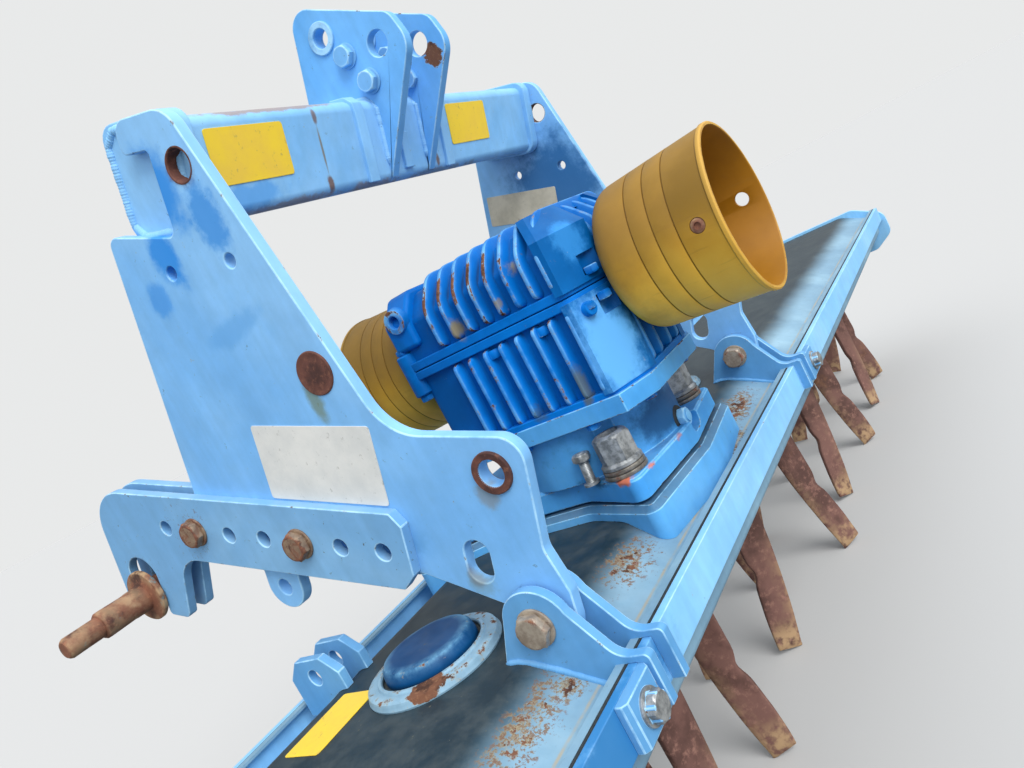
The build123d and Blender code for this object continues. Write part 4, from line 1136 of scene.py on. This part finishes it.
def guard_shell(way, rim):
    """Guard cup as a closed skin: outside profile with three fine grooves, a rounded rim lip, then the
    inside back to the flange. Grooves are marked as hollows, which the guard's colour darkens as painted
    shade, and the lip as worn."""
    base, shoulder, outer, neck = 78.0, 97.0, 105.0, 30.0
    rows = [(2.0, base - 22, 0)]
    for a in np.linspace(0, pi / 2, 9):
        rows.append((2 + (neck - 2) * (1 - cos(a)), base - 6 + (shoulder - base + 6) * sin(a), 0))
    for share in (60 / 164, 86 / 164, 112 / 164):
        spot = share * rim
        radius = shoulder + (outer - shoulder) * (spot - neck) / (rim - neck)
        rows += [(spot - 1.3, radius, 0), (spot - 0.8, radius - 0.2, -0.4), (spot - 0.35, radius - 1.3, -1),
                 (spot + 0.35, radius - 1.3, -1), (spot + 0.8, radius - 0.2, -0.4), (spot + 1.3, radius, 0)]
    rows += [(rim - 8, outer - 0.6, 0), (rim - 6.8, outer - 0.4, -0.5), (rim - 5.5, outer + 1.0, 0.3),
             (rim - 1.5, outer + 1.0, 1), (rim, outer - 0.6, 1), (rim, outer - 3.4, 0.5),
             (rim - 1.5, outer - 4.4, 0), (neck + 6, shoulder - 4.4, 0), (neck * 0.55, shoulder - 12, 0),
             (8.0, base - 14, 0), (6.0, 36.0, 0), (2.0, 36.0, 0)]
    return turned((0, wall_y(way), shaft_z), (0, way, 0), rows, 120)


def splined_stub(way):
    """Drive stub: six keys round the shaft, a ball groove near its end and a chamfered nose. Rows are
    (distance along, radius, keyed)."""
    angle = turn_round(96)
    keys = 14.6 + 2.8 * smoothstep(-0.15, 0.25, np.cos(6 * angle))
    rows = [(-6, 25.0, 0), (14, 25.0, 0), (15.5, 22.5, 0), (18, 17.4, 0), (24, 17.4, 1), (84, 17.4, 1),
            (87, 14.8, 0), (93, 14.8, 0), (96, 17.4, 1), (114, 17.4, 1), (118, 15.2, 0), (118, 6.0, 0),
            (112, 4.5, 0)]
    along, radius, keyed = np.array(rows).T[..., None]
    radius = np.where(keyed > 0, np.minimum(radius, keys), radius)
    y = np.broadcast_to(wall_y(way) + way * along, radius.shape)
    return grid(np.stack([radius * np.cos(angle), y, shaft_z + radius * np.sin(angle)], -1))


def make_guards():
    """Guard cups with an access hole on each side; a rusty screw fills the left one of the rear cup."""
    left, right = radians(176.0), radians(2.0)
    for word, way, length in (("rear", -1, 164.0), ("front", 1, 144.0)):
        guard = piece("guard_cup_" + word, [guard_shell(way, length)], "guard", ("guard_" + word,), 35)
        hole_y = wall_y(way) + way * (length - 28.0)
        drill(guard, [turned((70 * cos(a), hole_y, shaft_z + 70 * sin(a)), (cos(a), 0, sin(a)),
                             [(0, 9), (60, 9)], 32) for a in (right, left)])
        collar = [(-1, 60), (0, 62), (9, 62), (10, 60), (10, 40)]
        piece("guard_seat_" + word, [turned((0, wall_y(way), shaft_z), (0, way, 0), collar)], "gearbox")
    piece("drive_shaft", [splined_stub(-1), splined_stub(1)], "shaft", ("pto_shaft",), 30, body="pto_shaft")
    start = (97.5 * cos(left), lower_low[1] - 136.0, shaft_z + 97.5 * sin(left))
    screw = [(-4, 8.6, 0), (4.6, 8.6, 0.2), (5.6, 7.4, 0.8), (6.2, 4, 0), (4.4, 3.6, 0), (4.2, 1, 0)]
    piece("guard_screw", [turned(start, (cos(left), 0, sin(left)), screw)], "rust")


# Tines

def tine_shell(turn, hand, middle_x, seed):
    """Knife tine: boxy section carried down, its width, thickness, lean and trail given by smooth curves
    of the share of its length. A rounded notch is worn in its trailing side, the leading side is a
    wedge, and the end is ground off square. Only the lowest part is marked as scoured."""
    luck = np.random.default_rng(seed)
    share = np.linspace(0, 1, 48)

    def curve(*values):
        return np.interp(share, [0.0, 0.22, 0.46, 0.62, 0.80, 0.93, 1.0], values)

    def smooth(row):
        return np.convolve(np.pad(row, 2, mode="edge"), np.ones(5) / 5, mode="valid")[:, None]
    radius = smooth(curve(92, 95, 103, 110, 118, 123, 126))
    trail = smooth(curve(0, 1, 7, 14, 26, 34, 38) + 1.5 * luck.normal() * share ** 2)
    width = smooth(curve(62, 64, 58, 54, 54, 48, 40 + 3 * luck.normal()))
    thick = smooth(curve(16, 15.6, 14.6, 13.8, 12.2, 10.4, 9))
    share = share[:, None]
    angle = turn_round(28)
    out = np.sign(np.cos(angle)) * np.abs(np.cos(angle)) ** 0.30
    side = np.sign(np.sin(angle)) * np.abs(np.sin(angle)) ** 0.30
    lead = np.clip(side * hand, 0, 1)
    edge = 1 - 0.62 * lead ** 4 - 0.12 * np.abs(side) ** 6
    end = np.sqrt(np.clip((1 - share) / 0.012, 0.35, 1))
    x = radius + thick / 2 * out * edge * end
    bite = 8.0 * np.exp(-((share - 0.56) / 0.05) ** 2) * np.clip(-side * hand, 0, 1)
    y = -hand * trail + width / 2 * side + bite * hand
    slant = 12.0 * share ** 10 * (0.5 - 0.5 * side * hand)
    z = np.maximum(knife_length * (1 - share) + slant, 0.0) - datum
    wear = np.maximum(smoothstep(0.80, 0.93, share), 0.7 * lead ** 2 * smoothstep(0.3, 0.7, share))
    c, s = cos(turn), sin(turn)
    return grid(np.stack([middle_x + c * x - s * y, s * x + c * y, z], -1), wear)


def make_rotors():
    """Tine carriers and, on each, two knives set opposite each other at that rotor's turn."""
    for node in sorted(name for name in nodes if name.startswith("tines_")):
        number = int(node[-2:])
        body = f"rotor_{number:02d}"
        x = joints[body + "_spin"]["pos_m"][0] / MM
        turn = radians(rotor_turns[(number - 1) % len(rotor_turns)])
        hand = 1 if number % 2 else -1
        blades = [tine_shell(turn + half * pi, hand, x, number * 2 + half) for half in (0, 1)]
        piece("knives_" + node[-2:], blades, "tine", (node,), 45, body=body)
        eased(body, "carrier", 3.0, body)


# Trough fittings

def make_caps():
    """Bearing caps: flat flange ring with a raised lip, and a shallow dome in a groove inside it, which is
    marked as a hollow and darkened as painted shade.
    """
    flange = [(0, 80.5, 0), (2, 81, 0.6), (5.5, 79.5, 0.3), (8.5, 78.5, 0.8), (10.2, 75.5, 1),
              (10.4, 66, 0.3), (12.5, 64.5, 0.8), (12.8, 61.5, 0.8), (11, 60, -0.5), (7.5, 59.5, -1),
              (7.5, 40, -1)]
    dome = [(5, 55.5, -1), (10, 55.8, -0.7), (14, 55.5, 0), (21.5, 54.0, 0.2), (25.0, 51.0, 0.9),
            (26.4, 46, 0.4), (26.7, 40, 0), (26.9, 20, 0), (27.0, 5, 0)]
    for name, rows, finish, stands_for in (("bearing_cap_rings", flange, "cap ring", ("trough_caps",)),
                                           ("bearing_cap_domes", dome, "cap", ())):
        shells = [turned((side * cap_x, 0, trough_top), UP, rows, 72) for side in (-1, 1)]
        piece(name, shells, finish, stands_for, 30)


def make_hinge_bolts():
    """Pivot bolts: rusty hex heads, washers, spacer collars and shank; and the heads of the clamp bolts."""
    made = []
    for side in (-1, 1):
        def at(x):
            return (side * x, hinge_y, hinge_z)
        out, back = (side, 0, 0), (-side, 0, 0)
        made += [disc(at(ear_outer), out, 20.0, 3.0), hex_head(at(ear_outer + 2.6), out, 32.0, 10.6, 0.5),
                 disc(at(ear_inner), back, 20.0, 3.0), hex_head(at(ear_inner - 3), back, 32.0, 14.0, 0.2),
                 disc(at(plate_face + 0.3), out, 23.0, 4.7, 0.5),
                 disc(at(plate_inner - 0.3), back, 23.0, 4.7, 0.5),
                 turned(at(ear_inner + 1), out, [(0, 11.9), (ear_outer - ear_inner - 2, 11.9)], 32)]
    piece("pivot_bolts", made, "pivot bolt", ("hinge_bolts",), 30)
    low, high = corners("bar_clamps")
    y, z = low[1] + 13.0, (low[2] + high[2]) / 2
    rear = (0, -1, 0)
    heads = []
    for x in (-ear_outer - 29.0, ear_outer + 29.0):
        heads += [disc((x, y, z), rear, 17.0, 3.2), hex_head((x, y - 3.0, z), rear, 25.2, 10.2, 0.4)]
    piece("clamp_bolts", heads, "zinc", crease=30)


def make_bar_lips_and_gap_shade():
    """Trough sheet lying over the inner part of each bar's top, and a dark strip at its edge, painted shade
    that stands in for the shadow in the gap between the sheet and the bar.
    """
    lips, gap_shades = [], []
    for node, way in (("bar_rear", -1), ("bar_front", 1)):
        low, high = corners(node)
        inner, top = (high[1] if way < 0 else low[1]), high[2]
        edge = inner + way * 0.36 * (high[1] - low[1])
        lip = [(inner - way * 2.0, top - 2.5), (inner - way * 2.0, top + 0.9), (edge, top + 0.9),
               (edge, top - 0.5)]
        gap_shade = [(edge - way, top - 0.6), (edge - way, top + 0.5), (edge + way * 2.4, top + 0.35),
                (edge + way * 2.6, top - 0.6)]
        for shells, section in ((lips, lip), (gap_shades, gap_shade)):
            shells.append(grid([[(x, y, z) for y, z in section] for x in (low[0] + 2.0, high[0] - 2.0)]))
    piece("shoulder_lips", lips, "trough", crease=30)
    piece("bar_gap_shade", gap_shades, "seal_and_gap_shade", crease=30)


# Headstock and its fittings

def make_headstock():
    for word in ("left", "right"):
        eased("side_plate_" + word, "plate", 1.6, "headstock")
        eased("link_arms_" + word, "arm", 1.3, "headstock")
    eased("cross_beam", "beam", 0.8, "headstock")
    eased("top_link_plates", "top plates", 1.5, "headstock")


def make_arm_bolts():
    """Two bolts through each pair of link arms, in the second and the fifth hole."""
    made = []
    for side in (-1, 1):
        for i in (1, 4):
            spot = (arm_hole_first - arm_hole_pitch * i, arm_hole_up)
            made += through_bolt(side, spot, (arm_inner, arm_outer), (18.5, 2.6), 2.3, (30.0, 10.9, 0.2 + i),
                                 (30.0, 13.0, 0.7), 11.9)
    piece("link_arm_bolts", made, "arm bolt", ("arm_bolts",), 30, body="headstock")


def make_link_pins():
    """Stepped lower link pins: collar, thick root with a worn groove, thin tip with a chamfer."""
    collar = [(0, 30, 0.2), (1, 35, 0.6), (2.4, 36, 1), (7, 36, 1), (8.6, 34.5, 0.8)]
    pin = [(9, 24, 0), (11, 18.8, 0), (30, 18.3, 0.6), (34, 17.7, 0.8), (50, 18.0, 0.4), (68, 18.4, 0.5),
           (73, 18.2, 0.8), (75, 16.5, 0.4), (75.6, 14.0, 0), (100, 13.9, 0.6), (118, 14, 0.5),
           (121, 12.6, 0.8), (123, 10.5, 0.3), (123, 4, 0)]
    back = [(along, radius) for along, radius, _ in collar] + [(9, 14)]
    middle = [(0, 18.2), (arm_outer - arm_inner, 18.2)]
    for side, word in ((-1, "left"), (1, "right")):
        outer, inner = (from_hinge(side * x, *hook_pin) for x in (arm_outer, arm_inner))
        shells = [turned(outer, (side, 0, 0), collar + pin, 56), turned(inner, (-side, 0, 0), back, 56),
                  turned(inner, (side, 0, 0), middle, 40)]
        piece("stepped_pin_" + word, shells, "pin", ("link_pin_" + word,), 35, body="headstock")


def make_top_bolts():
    """Two bolts through each top link plate."""
    made = []
    for side in (-1, 1):
        for spot in top_bolt_spots:
            made += through_bolt(side, spot, top_plate_x, (16.5, 2.6), 2.2, (26.0, 10.6, 0.35),
                                 (24.0, 8.0, 0.1), 8.9, 24)
    piece("top_plate_bolts", made, "tower", ("top_link_bolts",), 30, body="headstock")


def make_bush_rings():
    """Rusty bush edges round the plates' bores, rusty discs, and rust-eaten rims of the upper holes."""
    lip = bush_ring_height + 0.4
    bush = [(0.0, 20.4), (0.0, 21.2), (lip - 0.8, 21.0), (lip, 20.2), (lip, 14.4), (lip - 1.4, 13.7),
            (-plate_thickness + 0.5, 13.7), (-plate_thickness, 14.6)]
    rim = [(-1.0, 18.6), (0.4, 18.2), (0.5, 16.9), (-0.6, 15.8), (-14.0, 15.6), (-14.5, 16.5)]
    plate = [(-1.0, 23.4), (1.0, 23.2), (1.7, 22.2), (1.5, 19.5), (1.2, 17.5), (1.5, 15.5), (1.3, 1.0)]
    made = []
    for side in (-1, 1):
        for spot, rows, sides, hollow in ((front_bore, bush, 56, True), (upper_hole, rim, 56, True),
                                          (rust_disc, plate, 48, False)):
            start = from_hinge(side * plate_face, *spot)
            made.append(turned(start, (side, 0, 0), rows, sides, hollow=hollow))
    piece("bush_rings", made, "bush", crease=30, body="headstock")


def make_signs():
    """Blank sign plates (name, finish, length, width, corner, place). A place takes a point of the
    outline and its height above the seat; a plate on a wall or on the beam faces away from it."""
    def on_side(x, forward, up):
        return lambda a, b, h: from_hinge(x - 0.1 - h, forward + a, up + b)

    def on_beam(x):
        return lambda a, b, h: from_hinge(x + a, beam_rear - 0.1 - h, 470.0 + b)

    def on_trough(a, b, h):
        return -474.0 + a, 95.0 + b, trough_top + 0.1 + h
    thickness = 0.9
    for name, finish, length, width, corner, place_of, body in (
            ("sign_side", "white plate", 166.0, 87.0, 4.0, on_side(near_face, 236.0, 150.5), "headstock"),
            ("sign_beam_left", "yellow plate", 114.0, 59.0, 4.0, on_beam(-289.0), "headstock"),
            ("sign_beam_right", "yellow plate", 114.0, 59.0, 4.0, on_beam(170.0), "headstock"),
            ("sign_maker", "metal plate", 148.0, 56.0, 3.0, on_side(plate_inner, 367.0, 308.0), "headstock"),
            ("sign_trough", "yellow plate", 98.0, 57.0, 4.0, on_trough, "trough_frame")):
        outline = rounded_plate(length, width, corner)
        shell = grid([[place_of(a, b, h) for a, b in outline] for h in (0.0, thickness)])
        piece(name, [shell], finish, crease=30, bevel=(0.25, 1), body=body)


def make_beam_straps():
    """Steel strips welded upright on the beam's rear face; the wide ones bend over the top edge. Each
    is a rectangle carried along a path of (forward, up) points in the headstock's own directions."""
    over_edge = [(318, 412), (318, 500), (320, 510), (328, 516), (352, 516)]
    made = []
    for x, width, spots in ((-93.5, 19.0, over_edge), (-11.0, 18.0, [(318, 421), (318, 469)]),
                            (93.5, 19.0, over_edge)):
        rows = []
        for k, spot in enumerate(np.array(spots, float)):
            along = unit(np.subtract(spots[min(k + 1, len(spots) - 1)], spots[max(k - 1, 0)]))
            out = np.array([-along[1], along[0]])
            inner, outer = spot - 2 * out, spot + 5 * out
            left, right = x - width / 2, x + width / 2
            rows.append([from_hinge(left, *inner), from_hinge(left, *outer), from_hinge(right, *outer),
                         from_hinge(right, *inner)])
        made.append(grid(rows))
    piece("beam_straps", made, "beam", bevel=(1.4, 2), body="headstock")


def make_beam_collars():
    """Flat collars round the beam beside the side plates: a ring plate that stands proud of the beam."""
    rear, front, low, high = beam_rear - 8, beam_front + 8, beam_bottom - 4, beam_top + 8
    outline = rounded_plate(front - rear, high - low, 20.0) + [(front + rear) / 2, (high + low) / 2]
    made = [grid([[from_hinge(side * x, forward, up) for forward, up in outline]
                  for x in (plate_inner - 22.0, plate_inner - 0.3)]) for side in (-1, 1)]
    piece("beam_collars", made, "beam", bevel=(2.0, 2), body="headstock")


def make_plate_bosses():
    """Low ring round the front hole of each top link plate, inside and outside."""
    rows = [(-1.0, 21.6, 0), (2.4, 21.2, 0.4), (3.2, 20.0, 1), (3.2, 13.4, 1), (2.2, 12.5, 0.6),
            (-1.0, 12.5, 0)]
    near, far = top_plate_x
    made = [turned(from_hinge(side * x, *top_front_hole), (way, 0, 0), rows, hollow=True)
            for side in (-1, 1) for x, way in ((far, side), (near, -side))]
    piece("top_plate_bosses", made, "tower", crease=30, body="headstock")


def make_welds():
    """Beads where the beam meets the plates, where the top plates stand on the beam and along the ears."""
    corner = 14.0
    rear, front, low, high = beam_rear, beam_front, beam_bottom, beam_top
    ring = [(rear + corner, low), (rear, low + corner), (rear, high - corner), (rear + corner, high),
            (front - corner, high), (front, high - corner), (front, low + corner), (front - corner, low),
            (rear + corner, low)]
    foot = [(rear - 1, low + 24), (rear - 1, high - corner), (rear + corner, high + 1),
            (front - corner, high + 1)]
    made, feet = [], []
    for side in (-1, 1):
        made.append(bead([from_hinge(side * (plate_inner - 1.5), *spot) for spot in ring], 5.0, 3 + side))
        for x in top_plate_x:
            made.append(bead([from_hinge(side * x, *spot) for spot in foot], 3.6, int(x) + side))
        for x in (ear_outer, ear_inner):
            path = [(-226.0, 398.0), (-180.0, 420.5), (-147.0, 434.5), (-133.0, trough_top + 0.5),
                    (-117.0, trough_top + 0.5)]
            feet.append(bead([(side * x, y, z) for y, z in path], 3.4, int(x) + side))
    piece("beam_welds", made, "beam", crease=60, body="headstock")
    piece("ear_welds", feet, "tower", crease=60)


make_camera()
make_stage()
make_sun()
make_headstock()
for node in ("hinge_ears", "front_lugs_left", "front_lugs_right", "bar_clamps"):
    eased(node, "tower", 1.2)
for node in ("bar_rear", "bar_front", "end_plates"):
    eased(node, "bar", 1.0)
eased("gearbox_pad", "pad", 0.8)
eased("gearbox_base", "base", 1.2)
nodes["trough"].data.materials.clear()
nodes["trough"].data.materials.append(finishes["trough"]["material"])
for make in (make_gearbox, make_base_details, make_guards, make_rotors, make_caps, make_hinge_bolts,
             make_arm_bolts, make_link_pins, make_top_bolts, make_bush_rings, make_signs, make_beam_straps,
             make_beam_collars, make_plate_bosses, make_bar_lips_and_gap_shade, make_welds):
    make()

scene = bpy.context.scene
scene.view_settings.view_transform = "Standard"
